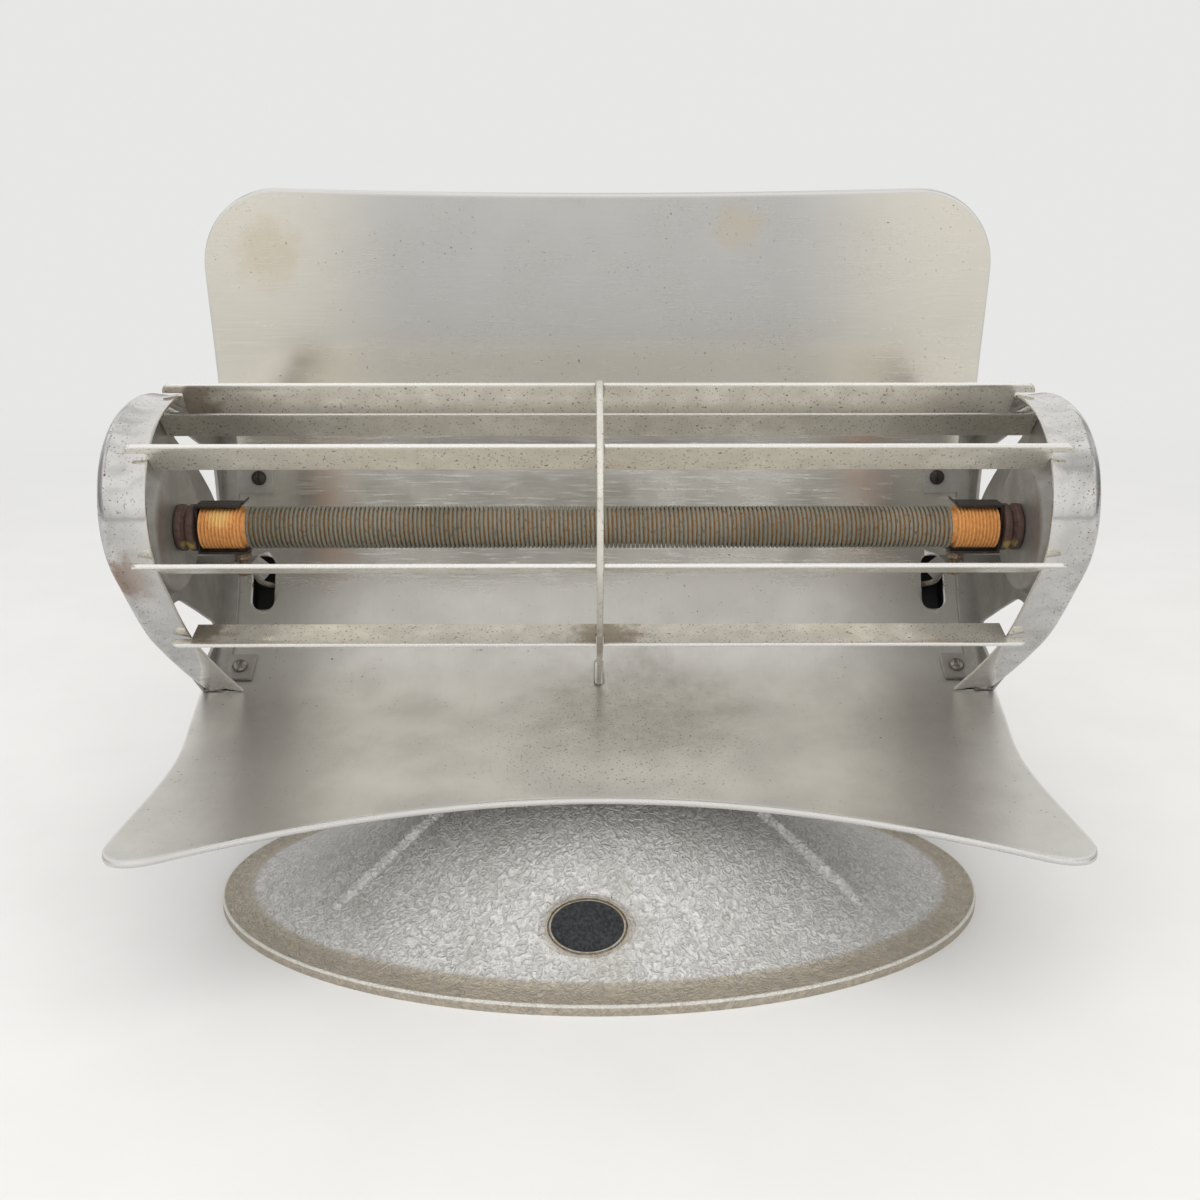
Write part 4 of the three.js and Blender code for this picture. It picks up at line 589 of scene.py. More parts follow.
def seat(made, body, slot, *nodes):
    """Lets a piece ride on a body and stand for its nodes, which are hidden; the slot is not used."""
    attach(made, body)
    if nodes:
        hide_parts(*nodes)
    return made


def eased_copy(node, ease, made, body, slot="plated_hardware", segments=2):
    """The node's own shape with its edges rounded."""
    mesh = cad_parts[node].data.copy()
    mesh.name = node + "_eased"
    mesh.materials.clear()
    mesh.materials.append(made)
    work = bmesh.new()
    work.from_mesh(mesh)
    bmesh.ops.remove_doubles(work, verts=work.verts, dist=1e-6)
    bmesh.ops.dissolve_limit(
        work, angle_limit=math.radians(1.0), verts=work.verts, edges=work.edges,
    )
    work.to_mesh(mesh)
    work.free()
    smooth_mesh(mesh, 30.0)
    copy = linked(node + "_eased", mesh)
    round_off = copy.modifiers.new("ease", "BEVEL")
    round_off.width = ease * MM
    round_off.segments = segments
    round_off.limit_method = "ANGLE"
    round_off.angle_limit = math.radians(40.0)
    round_off.harden_normals = True
    return seat(copy, body, slot, node)


# ---- finishes
class Nodes:
    """Short words for the nodes of one tree."""

    def __init__(self, tree):
        self.tree = tree

    def put(self, socket, value):
        if isinstance(value, bpy.types.NodeSocket):
            self.tree.links.new(value, socket)
        elif isinstance(value, tuple) and len(socket.default_value) == 4:
            socket.default_value = (*value, 1.0)
        else:
            socket.default_value = value

    def node(self, kind, values, **settings):
        made = self.tree.nodes.new("ShaderNode" + kind)
        for key, value in settings.items():
            setattr(made, key, value)
        for key, value in values.items():
            self.put(made.inputs[key], value)
        return made

    def fade(self, value, low=0.3, high=0.7, start=0.0, end=1.0):
        values = {"Value": value, "From Min": low, "From Max": high, "To Min": start, "To Max": end}
        made = self.node("MapRange", values, interpolation_type="SMOOTHSTEP")
        return made.outputs["Result"]

    def sum(self, operation, a, b):
        return self.node("Math", {0: a, 1: b}, operation=operation).outputs[0]

    def times(self, a, b):
        return self.sum("MULTIPLY", a, b)

    def plus(self, a, b):
        return self.sum("ADD", a, b)

    def less(self, a, b):
        return self.sum("SUBTRACT", a, b)

    def mix(self, share, a, b):
        values = {0: share, 6: a, 7: b}
        return self.node("Mix", values, data_type="RGBA").outputs[2]

    def ray(self, kind):
        return self.node("LightPath", {}).outputs[kind]


class Finish(Nodes):
    """A material built from nodes about one principled surface."""

    def __init__(self, name, metallic=0.0):
        self.material = bpy.data.materials.new(name)
        self.material.use_nodes = True
        super().__init__(self.material.node_tree)
        self.surface = self.tree.nodes["Principled BSDF"]
        self.put(self.surface.inputs["Metallic"], metallic)
        self.place = self.tree.nodes.new("ShaderNodeTexCoord").outputs["Object"]

    def stretched(self, x, y, z):
        made = self.node("Mapping", {"Vector": self.place})
        made.inputs["Scale"].default_value = (x, y, z)
        return made.outputs["Vector"]

    def noise(self, size, detail=4.0, rough=0.55, bend=0.0, place=None):
        """A noise whose features are about a size in millimetres."""
        values = {
            "Vector": place or self.place,
            "Scale": 1.0 / (size * MM),
            "Detail": detail,
            "Roughness": rough,
            "Distortion": bend,
        }
        return self.node("TexNoise", values).outputs["Fac"]

    def cells(self, size, place=None):
        values = {"Vector": place or self.place, "Scale": 1.0 / (size * MM)}
        return self.node("TexVoronoi", values).outputs["Distance"]

    def wear(self):
        return self.node("Attribute", {}, attribute_name="wear").outputs["Fac"]

    def axis(self, name):
        return self.node("SeparateXYZ", {0: self.place}).outputs[name]

    def blot(self, centre, radius, ragged, grain=6.0):
        """One inside a ragged patch about a point in millimetres, and nothing outside it."""
        point = tuple(value * MM for value in centre)
        far = self.node("VectorMath", {0: self.place}, operation="DISTANCE")
        far.inputs[1].default_value = point
        shift = self.times(self.less(self.noise(grain), 0.5), ragged * MM * 2)
        reach = self.plus(far.outputs["Value"], shift)
        return self.fade(reach, radius * MM, radius * MM * 0.35)

    def specks(self, size, amount):
        """Small spots: nearly all of the surface is zero."""
        return self.fade(self.noise(size, 3.0, 0.6), 0.74 - amount, 0.80 - amount)

    def ground(self, grain, light, dark, low=0.3, high=0.7):
        self.color = self.mix(self.fade(grain, low, high), light, dark)

    def tint(self, share, color):
        self.color = self.mix(share, self.color, color)

    def done(self, roughness, height=None, lift=0.1, strength=1.0):
        self.put(self.surface.inputs["Base Color"], self.color)
        self.put(self.surface.inputs["Roughness"], roughness)
        if height is not None:
            values = {"Height": height, "Strength": strength, "Distance": lift * MM}
            self.put(self.surface.inputs["Normal"], self.node("Bump", values).outputs[0])
        return self.material


# Plain finishes: metallic, noise of the grain and its fade, light and dark colour, size, amount
# and colour of the specks, roughness from and to, noise of the bumps where it is not the grain,
# and their lift and strength
PLAIN = {
    "dull_reflector_back": (
        1.0, (20.0, 5.0, 0.6), (0.3, 0.7), (0.52, 0.51, 0.49), (0.45, 0.44, 0.42),
        (1.1, 0.09, (0.24, 0.22, 0.20)), (0.42, 0.56), (1.1, 4.0), (0.05, 0.5),
    ),
    "dull_frame": (
        0.75, (12.0, 5.0, 0.6), (0.3, 0.7), (0.46, 0.445, 0.42), (0.36, 0.345, 0.32),
        (0.9, 0.09, (0.17, 0.14, 0.11)), (0.38, 0.52), (0.9, 4.0), (0.05, 0.5),
    ),
    "blackened_clip": (
        0.6, (2.4, 5.0, 0.65), (0.35, 0.75), (0.030, 0.029, 0.030), (0.075, 0.060, 0.048),
        (1.1, 0.10, (0.19, 0.10, 0.05)), (0.42, 0.62), None, (0.08, 0.6),
    ),
    "plated_hardware": (
        1.0, (1.6, 5.0, 0.65), (0.35, 0.7), (0.46, 0.44, 0.41), (0.27, 0.24, 0.21),
        (0.9, 0.14, (0.17, 0.09, 0.05)), (0.28, 0.46), None, (0.05, 0.5),
    ),
    "rusted_hardware": (
        0.6, (1.3, 5.0, 0.7), (0.35, 0.7), (0.15, 0.085, 0.045), (0.30, 0.25, 0.19),
        None, (0.62, 0.42), None, (0.15, 0.7),
    ),
    "plain_sheet": (
        0.85, (14.0, 5.0, 0.6), (0.3, 0.7), (0.30, 0.295, 0.285), (0.21, 0.20, 0.19),
        (1.4, 0.12, (0.10, 0.075, 0.055)), (0.40, 0.54), (1.0, 4.0), (0.05, 0.5),
    ),
    "cover_sheet": (
        0.2, (18.0, 5.0, 0.6), (0.3, 0.7), (0.040, 0.040, 0.043), (0.062, 0.060, 0.060),
        (1.5, 0.07, (0.16, 0.13, 0.10)), (0.40, 0.52), (1.2, 3.0), (0.06, 0.6),
    ),
    "fireclay": (
        0.0, (1.4, 5.0, 0.65), (0.3, 0.7), (0.70, 0.33, 0.10), (0.52, 0.23, 0.07),
        (0.9, 0.10, (0.22, 0.11, 0.05)), (0.75, 0.9), None, (0.12, 0.7),
    ),
    "wound_wire": (
        0.35, (26.0, 3.0, 0.5), (0.3, 0.7), (0.165, 0.157, 0.122), (0.240, 0.228, 0.180),
        (1.0, 0.16, (0.10, 0.085, 0.06)), (0.5, 0.62), (0.5, 3.0), (0.04, 0.6),
    ),
    "brown_insulator": (
        0.0, (2.0, 5.0, 0.65), (0.3, 0.7), (0.115, 0.062, 0.048), (0.062, 0.040, 0.034),
        None, (0.55, 0.78), None, (0.15, 0.7),
    ),
    "bush_rubber": (
        0.0, (1.5, 4.0, 0.6), (0.3, 0.7), (0.018, 0.018, 0.019), (0.040, 0.038, 0.036),
        None, (0.58, 0.72), None, (0.06, 0.5),
    ),
    "black_plate": (
        0.3, (16.0, 5.0, 0.6), (0.3, 0.7), (0.028, 0.028, 0.030), (0.050, 0.047, 0.044),
        (1.6, 0.08, (0.15, 0.10, 0.07)), (0.45, 0.6), (1.4, 3.0), (0.08, 0.5),
    ),
}


def plain(name, *blots):
    """A finish of the table, with ragged patches where its blots are."""
    metallic, grain, span, light, dark, specks, rough, bumps, lift = PLAIN[name]
    finish = Finish(name, metallic)
    grain = finish.noise(*grain)
    finish.ground(grain, light, dark, *span)
    for *blot, stain in blots:
        finish.tint(finish.blot(*blot), stain)
    if specks:
        size, amount, spot = specks
        finish.tint(finish.specks(size, amount), spot)
    height = finish.noise(*bumps) if bumps else grain
    return finish.done(finish.fade(grain, 0.3, 0.7, *rough), height, *lift)


def polished_sheet():
    """Aged polished aluminium: hairlines, haze and stains, with painted shade over the upper middle of the
    wall, painted highlights behind the rod and on the upper sides, and edges lightened partly by rubbing
    and partly by a painted highlight.
    """
    finish = Finish("polished_reflector", 0.9)
    haze = finish.noise(34.0, 5.0, 0.6)
    streaks = finish.noise(2.2, 4.0, 0.6, place=finish.stretched(1.0, 0.12, 0.12))
    hairs = finish.noise(0.9, 2.0, 0.5, place=finish.stretched(0.06, 1.0, 1.0))
    finish.ground(haze, (0.80, 0.785, 0.75), (0.70, 0.685, 0.65))
    finish.tint(finish.fade(streaks, 0.55, 0.75, 0.0, 0.14), (0.56, 0.54, 0.50))
    outward = finish.fade(finish.sum("ABSOLUTE", finish.axis("X"), 0.0), 0.075, 0.150)
    upward = finish.fade(finish.axis("Z"), 0.120, 0.200)
    # Painted shade: the upper middle of the wall is dulled towards grey.
    middle = finish.times(upward, finish.less(1.0, outward))
    finish.tint(finish.times(middle, 0.6), (0.61, 0.605, 0.59))
    # Painted highlight: a pale warm band across the wall behind the rod.
    painted_highlight_behind_rod = finish.times(
        finish.fade(finish.axis("Z"), 0.095, 0.125), finish.fade(finish.axis("Z"), 0.185, 0.155),
    )
    finish.tint(finish.times(painted_highlight_behind_rod, 0.85), (0.99, 0.965, 0.90))
    # Painted highlight: the upper sides of the wall are lightened warm and pale.
    sides = finish.times(finish.times(outward, upward), 0.75)
    finish.tint(sides, (0.98, 0.93, 0.81))
    for centre, radius in STRAW_TINTS:
        tint = finish.times(finish.blot(centre, radius, 9.0, 9.0), 0.35)
        finish.tint(tint, (0.72, 0.60, 0.40))
    soot = finish.times(finish.blot((18, 22, 68), 58.0, 26.0, 14.0), finish.noise(5.0))
    finish.tint(finish.times(soot, 0.6), (0.33, 0.28, 0.225))
    spots = finish.times(finish.specks(1.3, 0.07), finish.fade(haze, 0.38, 0.6))
    finish.tint(spots, (0.24, 0.20, 0.165))
    near_soot = finish.times(finish.specks(1.0, 0.13), finish.blot((8, -8, 63), 70.0, 20.0))
    finish.tint(near_soot, (0.17, 0.14, 0.115))
    # Edges lightened: partly worn metal, partly a painted highlight.
    edge = finish.wear()
    finish.tint(edge, (0.86, 0.85, 0.83))
    rough = finish.fade(haze, 0.3, 0.7, 0.17, 0.26)
    rough = finish.plus(rough, finish.fade(finish.axis("Z"), 0.080, 0.125, FLOOR_HAZE, 0.0))
    rough = finish.plus(rough, finish.fade(hairs, 0.5, 0.8, 0.0, 0.10))
    rough = finish.plus(rough, finish.times(spots, 0.4))
    rough = finish.less(rough, finish.times(edge, 0.12))
    height = finish.plus(finish.times(hairs, 0.35), finish.noise(16.0, 3.0))
    return finish.done(rough, height, 0.12, 0.35)


def guard_metal():
    """Plated steel, lightened along the outer edge partly by rubbing and partly by a painted highlight,
    scorched brown near the middle and at the left.
    """
    finish = Finish("guard_metal", 0.78)
    haze = finish.noise(9.0, 5.0, 0.62)
    finish.ground(haze, (0.92, 0.885, 0.80), (0.79, 0.755, 0.67), 0.32, 0.68)
    for centre, radius in SCORCHES:
        burnt = finish.times(finish.blot(centre, radius, 12.0, 5.0), 0.75)
        finish.tint(burnt, (0.30, 0.235, 0.165))
    spots = finish.specks(0.9, 0.13)
    finish.tint(spots, (0.25, 0.19, 0.14))
    # The outer edges are lightened: partly worn metal, partly a painted highlight.
    edge = finish.wear()
    finish.tint(edge, (0.97, 0.955, 0.92))
    rough = finish.plus(finish.fade(haze, 0.3, 0.7, 0.26, 0.42), finish.times(spots, 0.3))
    rough = finish.less(rough, finish.times(edge, 0.12))
    return finish.done(rough, finish.noise(0.8, 4.0), 0.03, 0.5)


def chromed_band():
    """Worn chrome with pits, a rippled skin and rust showing through; its lip is lightened partly by
    rubbing and partly by a painted highlight.
    """
    finish = Finish("chromed_frame", 1.0)
    ripple = finish.noise(7.0, 4.0, 0.6, 0.6, finish.stretched(0.6, 1.0, 0.45))
    finish.ground(ripple, (0.86, 0.85, 0.83), (0.62, 0.61, 0.59), 0.35, 0.7)
    rusty = finish.times(finish.blot((-160, -40, 143), 15.0, 8.0, 4.0), 0.75)
    finish.tint(rusty, (0.34, 0.21, 0.14))
    spots = finish.specks(0.8, 0.13)
    finish.tint(spots, (0.27, 0.16, 0.10))
    # The lip is lightened: partly worn chrome, partly a painted highlight.
    finish.tint(finish.wear(), (0.85, 0.84, 0.82))
    rough = finish.fade(ripple, 0.35, 0.7, 0.06, 0.15)
    rough = finish.plus(rough, finish.times(finish.plus(rusty, spots), 0.35))
    height = finish.plus(ripple, finish.times(spots, -0.4))
    return finish.done(rough, height, 0.22, 0.5)


def wire_sleeve():
    """Woven sleeving, pale with age, its weave as a fine diagonal lattice."""
    finish = Finish("wire_sleeve")
    weave = finish.cells(0.55, finish.stretched(0.7, 1.0, 1.0))
    grime = finish.noise(9.0, 4.0)
    finish.ground(grime, (0.42, 0.38, 0.30), (0.24, 0.21, 0.165), 0.35, 0.7)
    finish.tint(finish.fade(weave, 0.25, 0.7), (0.15, 0.13, 0.10))
    return finish.done(0.85, weave, 0.2, 0.8)


def hammered_casting():
    """Silver hammered paint: fine wrinkled cells, worn to a tan ground along the rim, with a light line on
    the rim's rounded outer edge that is partly bare metal and partly a painted highlight.
    """
    finish = Finish("hammered_casting", 0.45)
    cells = finish.noise(2.3, 2.0, 0.5, 1.6)
    broad = finish.noise(20.0, 4.0)
    finish.ground(cells, (0.54, 0.535, 0.52), (0.80, 0.795, 0.78), 0.35, 0.68)
    finish.tint(finish.fade(broad, 0.45, 0.75, 0.0, 0.35), (0.44, 0.41, 0.35))
    finish.tint(finish.specks(1.2, 0.06), (0.08, 0.06, 0.045))
    rim = finish.times(finish.wear(), finish.fade(finish.noise(5.0, 5.0, 0.65), 0.1, 0.42))
    stain = finish.fade(finish.noise(2.6, 5.0, 0.65), 0.4, 0.65)
    worn = finish.mix(stain, (0.42, 0.38, 0.315), (0.53, 0.465, 0.375))
    finish.tint(rim, worn)
    # A light line on the rim's rounded outer edge: partly bare metal, partly a painted highlight.
    bright = finish.fade(finish.wear(), 1.2, 1.8)
    finish.tint(bright, (0.74, 0.72, 0.67))
    rough = finish.plus(finish.fade(cells, 0.3, 0.7, 0.30, 0.40), finish.times(rim, 0.12))
    return finish.done(rough, cells, 1.3, 0.9)


def bare_badge():
    finish = Finish("bare_badge", 0.8)
    grain = finish.noise(1.2, 5.0, 0.65)
    finish.ground(grain, (0.030, 0.033, 0.038), (0.075, 0.078, 0.082), 0.35, 0.7)
    edge = finish.fade(finish.wear(), 0.3, 0.9)
    worn = finish.mix(finish.fade(finish.noise(2.0), 0.45, 0.6), (0.42, 0.34, 0.22), (0.50, 0.49, 0.47))
    finish.tint(edge, worn)
    return finish.done(finish.fade(grain, 0.3, 0.7, 0.30, 0.45), grain, 0.06, 0.5)


# ---- reflector
def reflector_half(s):
    for (low_s, low_half), (high_s, high_half) in zip(WIDTHS, WIDTHS[1:]):
        if s <= high_s:
            return lerp(low_half, high_half, smoothstep(s, low_s, high_s))
    return TOP_HALF


def corner_inset(from_edge, corner):
    reach = max(corner - from_edge, 0.0)
    return corner - math.sqrt(max(corner * corner - reach * reach, 0.0))


def sheet_shares(flat_steps=44, corner_steps=26):
    """Column places as shares of the half width, close together in the corners."""
    flat = 1 - TOP_CORNER / TOP_HALF
    half = [flat * i / flat_steps for i in range(1, flat_steps + 1)]
    for i in range(1, corner_steps + 1):
        half.append(flat + (1 - flat) * math.sin(math.pi / 2 * i / corner_steps))
    return [-share for share in reversed(half)] + [0.0] + half


def hem_back(from_edge):
    share = 1 - smoothstep(from_edge, HEM_WIDTH * 0.5, HEM_WIDTH)
    return lerp(SHEET, HEM_THICK, share)


def sheet_stations(start, end):
    """Arc lengths along the bright face between the turned edges."""
    bead = HEM_THICK / 2
    fine = [start + bead + step for step in EDGE_STEPS]
    fine_end = [end - bead - step for step in reversed(EDGE_STEPS)]
    return fine + spread(fine[-1], fine_end[0], SHEET_STEPS)[1:-1] + fine_end


def sheet_loop(share):
    """One closed loop round the sheet's thickness: bright face, top bead, back, lip bead."""
    from_side = TOP_HALF * (1 - abs(share))
    bow = 1 - share * share
    start = LIP_SWEEP * bow + corner_inset(from_side, LIP_CORNER)
    end = section.length - TOP_SWEEP * bow - corner_inset(from_side, TOP_CORNER)
    stations = sheet_stations(start, end)
    bead = HEM_THICK / 2
    loop = [(s, 0.0) for s in stations]
    loop += arc(end - bead, -bead, bead, 90, -90, BEAD_STEPS)[1:-1]
    loop += [(s, -hem_back(min(s - start, end - s, from_side))) for s in reversed(stations)]
    loop += arc(start + bead, -bead, bead, 270, 90, BEAD_STEPS)[1:-1]
    points = []
    for s, off in loop:
        point = section.at(s, off)
        points.append(Vector((share * reflector_half(s), point.x, point.y)))
    wear = [sheet_edge_rub_and_highlight(min(s - start, end - s), from_side) for s, off in loop]
    return points, wear, len(stations)


def sheet_edge_rub_and_highlight(from_edge, from_side):
    # Near the lip, top and side edges: worn metal and a painted highlight.
    edge_rub_and_highlight = 1 - smoothstep(from_edge, 1.0, 2.6)
    side = 0.6 * (1 - smoothstep(from_side, 0.3, 1.2))
    return max(edge_rub_and_highlight, side)


def reflector():
    loops, wear, fronts = zip(*[sheet_loop(share) for share in sheet_shares()])
    count, front, bead = len(loops[0]), fronts[0], BEAD_STEPS - 2
    shell = Shell().add(*stacked(loops, capped=False))
    shell.wear = [value for values in wear for value in values]
    back = range(front + bead, count - bead - 1)
    shell.finishes = [int(i % count in back) for i in range(len(shell.faces))]
    ends = []
    for edge in (0, (len(loops) - 1) * count):
        for i in range(front - 1):
            mate = 2 * front + bead - i
            ends.append((edge + i, edge + i + 1, edge + mate - 1, edge + mate))
        for first in (front - 1, 2 * front + bead):
            ends.append([edge + (first + step) % count for step in range(BEAD_STEPS)])
    shell.faces += ends
    shell.finishes += [0] * len(ends)
    made = shell.to_object("reflector_sheet", [polished_sheet(), plain("dull_reflector_back")], 40.0)
    return seat(cut(made, reflector_cutters()), "head", "polished_reflector", "reflector")


def reflector_cutters():
    cutters = []
    slot_outline = rounded_rectangle(SLOT_WIDTH / 2, SLOT_LENGTH / 2, SLOT_CORNER)
    for side, sign in MIRRORED:
        place = on_section(sign * SLOT_X, SLOT_S)
        cutters.append(cutter_plate(slot_outline, SLOT_CUT, place, "slot_" + side))
    foot = rounded_rectangle(TIE_THICK / 2 + SEAT_GAP, TIE_DEPTH + 1, 0.8)
    cutters.append(cutter_plate(foot, TIE_CUT, on_section(0.0, TIE_FOOT_S), "tie_foot"))
    return cutters


def cutter_plate(outline, thick, place, name):
    rings = [[(x, y, z) for x, y in outline] for z in (-thick / 2, thick / 2)]
    shell = Shell().add(*stacked(rings), place)
    return shell.to_object("cutter_" + name, [])


# ---- end frames
def band_line():
    foot = section.at(BAND_FOOT_S, FOOT_OFF)
    top = section.at(BAND_TOP_S, FOOT_OFF)
    return [foot, *catmull(BAND_LINE, 8), top]


def inset_line(line, inset):
    moved = []
    for i, point in enumerate(line):
        along = line[min(i + 1, len(line) - 1)] - line[max(i - 1, 0)]
        along.normalize()
        moved.append(Vector((point.x + along.y * inset, point.y - along.x * inset)))
    return moved


def band_profile():
    """The band's section as (X, inset): a flange with a rounded lip that turns into the web."""
    bend_x = FRAME_OUTER_X - BAND_BEND
    lip = FRAME_SHEET / 2
    return [
        *arc(BAND_INNER_X + lip, lip, lip, 270, 90, 6),
        *arc(bend_x, BAND_BEND, BAND_BEND, -90, 0, 8),
        *arc(bend_x, BAND_BEND, BAND_BEND - FRAME_SHEET, 0, -90, 8),
    ]


def add_band(shell):
    line = band_line()
    lines = [[(x, *point) for point in inset_line(line, inset)] for x, inset in band_profile()]
    shell.add(*stacked(list(zip(*lines))), wear=band_lip_rub_and_highlight)


def band_lip_rub_and_highlight(point):
    # Along the lip: worn chrome and a painted highlight.
    return 1 - smoothstep(point.x - BAND_INNER_X, 0.5, 1.3)


def add_web(shell):
    upper = inset_line(band_line(), BAND_BEND - WEB_LAP)[1:-1]
    outline = [*upper, *section.run(BAND_TOP_S, BAND_FOOT_S, FOOT_OFF)]
    holes = [eased(UPPER_OPENING, 6.0), eased(LOWER_OPENING, 6.0)]
    reach = BOSS_FOOT + BOSS_FLANGE - BOSS_LAP
    boss = [(ELEMENT_Y + x, ELEMENT_Z + y) for x, y in oval(reach, reach)]
    plate = flat_plate([outline, *holes, boss], FRAME_SHEET, 0.1)
    shell.add(*plate, across(FRAME_OUTER_X - FRAME_SHEET / 2), 1)


def add_boss(shell):
    """A dished boss, turned about the element's line, with both of its corners eased."""
    rise = FRAME_SHEET
    outer = [
        (BOSS_FOOT + BOSS_FLANGE, 0.0), (BOSS_FOOT, 0.0),
        (BOSS_PLATEAU, -BOSS_DEPTH), (CAP_BORE, -BOSS_DEPTH),
    ]
    outside = eased(outer, BOSS_EASE, 6, closed=False)
    inside = [Vector((point.x, point.y - rise)) for point in reversed(outside)]
    place = Matrix.Translation((FRAME_OUTER_X, ELEMENT_Y, ELEMENT_Z)) @ Matrix.Rotation(math.pi / 2, 4, "Y")
    shell.add(*turned([*outside, *inside], 96), place, 1)


def add_foot(shell, start, end, inner_x):
    """A flange that lies along the reflector between two arc lengths."""
    low = section.run(start, end, FOOT_OFF)
    high = section.run(end, start, FOOT_TOP)
    outer_x = FRAME_OUTER_X - FRAME_SHEET / 2
    outline = eased([*low, *high], 0.5, 2)
    middle = (inner_x + outer_x) / 2
    shell.add(*flat_plate([outline], outer_x - inner_x, 0.3), across(middle), 1)


def end_frame(side, sign, chromed, dull):
    shell = Shell()
    add_band(shell)
    add_web(shell)
    add_boss(shell)
    add_foot(shell, BAND_FOOT_S, BAND_TOP_S, FRAME_OUTER_X - FOOT_WIDTH)
    for x, s in ((UPPER_SCREW_X, UPPER_SCREW_S), (LOWER_SCREW_X, LOWER_SCREW_S)):
        end = min(s + TAB_WIDTH / 2, BAND_TOP_S)
        add_foot(shell, s - TAB_WIDTH / 2, end, x - TAB_WIDTH / 2 + 1)
    made = shell.mirrored(sign).to_object("end_frame_sheet_" + side, [chromed, dull])
    return seat(flat_sides(made), "head", "chromed_frame", "end_frame_" + side)


# ---- screws and nuts
def domed_head(radius, thick, base, shank_radius, shank_end):
    """A slotted domed head on its shank, as a profile about Z."""
    profile = [(0.0, shank_end), (shank_radius * 0.8, shank_end), (shank_radius, shank_end + 0.5)]
    profile += [(shank_radius, base), (radius, base), (radius, base + thick * 0.25)]
    for turn in spread(0, 90, 8)[1:]:
        angle = math.radians(turn)
        profile.append((radius * math.cos(angle), base + thick * (0.25 + 0.75 * math.sin(angle))))
    return profile


def slotted_screw(name, node, place, base, shank_end, made):
    profile = domed_head(SCREW_HEAD, SCREW_HEAD_THICK, base, SCREW_RADIUS, shank_end)
    screw = Shell().add(*turned(profile, SMALL_STEPS), place).to_object(name, [made], ROUND_SHARP)
    groove = rounded_rectangle(GROOVE_HALF, SCREW_HEAD + 1, 0.1)
    face = place @ Matrix.Translation((0, 0, base + SCREW_HEAD_THICK))
    return seat(cut(screw, [cutter_plate(groove, GROOVE_CUT, face, name)]), "head", "plated_hardware", node)


def frame_screw(label, side, sign, x, s, made):
    name = f"frame_screw_domed_{label}_{side}"
    node = f"frame_screw_{label}_{side}"
    place = on_section(sign * x, s)
    return slotted_screw(name, node, place, FOOT_TOP + SEAT_GAP, FOOT_TOP - SCREW_LENGTH, made)


def cover_screw(side, sign, made):
    back = on_section(sign * COVER_SCREW_X, COVER_SCREW_S) @ Matrix.Rotation(math.pi, 4, "X")
    base = SHEET + COVER_WALL + SEAT_GAP * 2
    return slotted_screw("cover_screw_domed_" + side, "cover_screw_" + side, back, base, 0.0, made)


# ---- guard
def blade_outline():
    """The blade with its tie notch and rounded outer corners; its left half mirrors the right."""
    half = BAND_INNER_X - SEAT_GAP
    notch_half = TIE_THICK / 2 + SEAT_GAP
    notch_depth = TIE_DEPTH - TIE_PROUD + TIE_NOTCH_EASE
    outline = [
        (notch_half, notch_depth), (notch_half, 0.0),
        *arc(BLADE_HALF - BLADE_END, BLADE_END, BLADE_END, -90, 0, 8),
        (BLADE_HALF, BLADE_OVERHANG), (half, BLADE_OVERHANG), (half, BLADE_WIDTH),
    ]
    return [*outline, *((-x, y) for x, y in reversed(outline))]


def blade_edge_rub_and_highlight(point):
    # Along the outer edge: worn metal and a painted highlight.
    return 1 - smoothstep(point.y, 0.35, 1.1)


def guard_strip(name, outline, y, z, inward, made):
    plate = flat_plate([outline], BLADE_THICK, BLADE_EASE)
    shell = Shell().add(*ruled_plate(plate), turned_about_x(inward, (0.0, y, z)), wear=blade_edge_rub_and_highlight)
    return shell.as_piece(name + "_strip", made, "head", "guard_metal", name)


def ruled_plate(plate):
    """The plate with its faces divided across its width, so that rubbing and a painted highlight can lie
    along its edge.
    """
    points, faces = plate
    mesh = bpy.data.meshes.new("ruled")
    mesh.from_pydata(points, [], faces)
    work = bmesh.new()
    work.from_mesh(mesh)
    for depth in (0.35, 0.7, 1.1, 3.0, 7.0):
        everything = [*work.verts, *work.edges, *work.faces]
        bmesh.ops.bisect_plane(work, geom=everything, plane_co=(0, depth, 0), plane_no=(0, 1, 0))
    work.to_mesh(mesh)
    work.free()
    return taken_from(mesh)


def rear_rail(made):
    half = FRAME_OUTER_X - FRAME_SHEET - SEAT_GAP
    outline = [(half, 0.0), (half, BLADE_WIDTH), (-half, BLADE_WIDTH), (-half, 0.0)]
    return guard_strip("guard_rear_rail", eased(outline, 0.6, 3), *RAIL_PLACE, made)


def tie_outline():
    """The tie stands on edge across the blades and goes down through the reflector's floor."""
    outer, inner = [], []
    for _, y, z, inward in BLADES:
        turn = math.radians(inward)
        reach = TIE_DEPTH - TIE_PROUD
        outer.append((y - math.cos(turn) * TIE_PROUD, z - math.sin(turn) * TIE_PROUD))
        inner.append((y + math.cos(turn) * reach, z + math.sin(turn) * reach))
    start = (outer[0][0] + TIE_DEPTH * 0.7, outer[0][1] - 0.6)
    foot_front = section.at(TIE_FOOT_S - TIE_DEPTH / 2, -SHEET - TIE_FOOT_DROP)
    foot_back = section.at(TIE_FOOT_S + TIE_DEPTH / 2, -SHEET - TIE_FOOT_DROP)
    outside = catmull([start, *outer], 12)
    inside = catmull(inner, 12)
    return [*outside, foot_front, foot_back, *reversed(inside)]


def guard_tie(made):
    plate = flat_plate([tie_outline()], TIE_THICK, 0.5)
    tie = Shell().add(*plate, across(0.0), wear=lambda point: 0.25)
    return tie.as_piece("guard_tie_bar", made, "head", "guard_metal", "guard_tie")


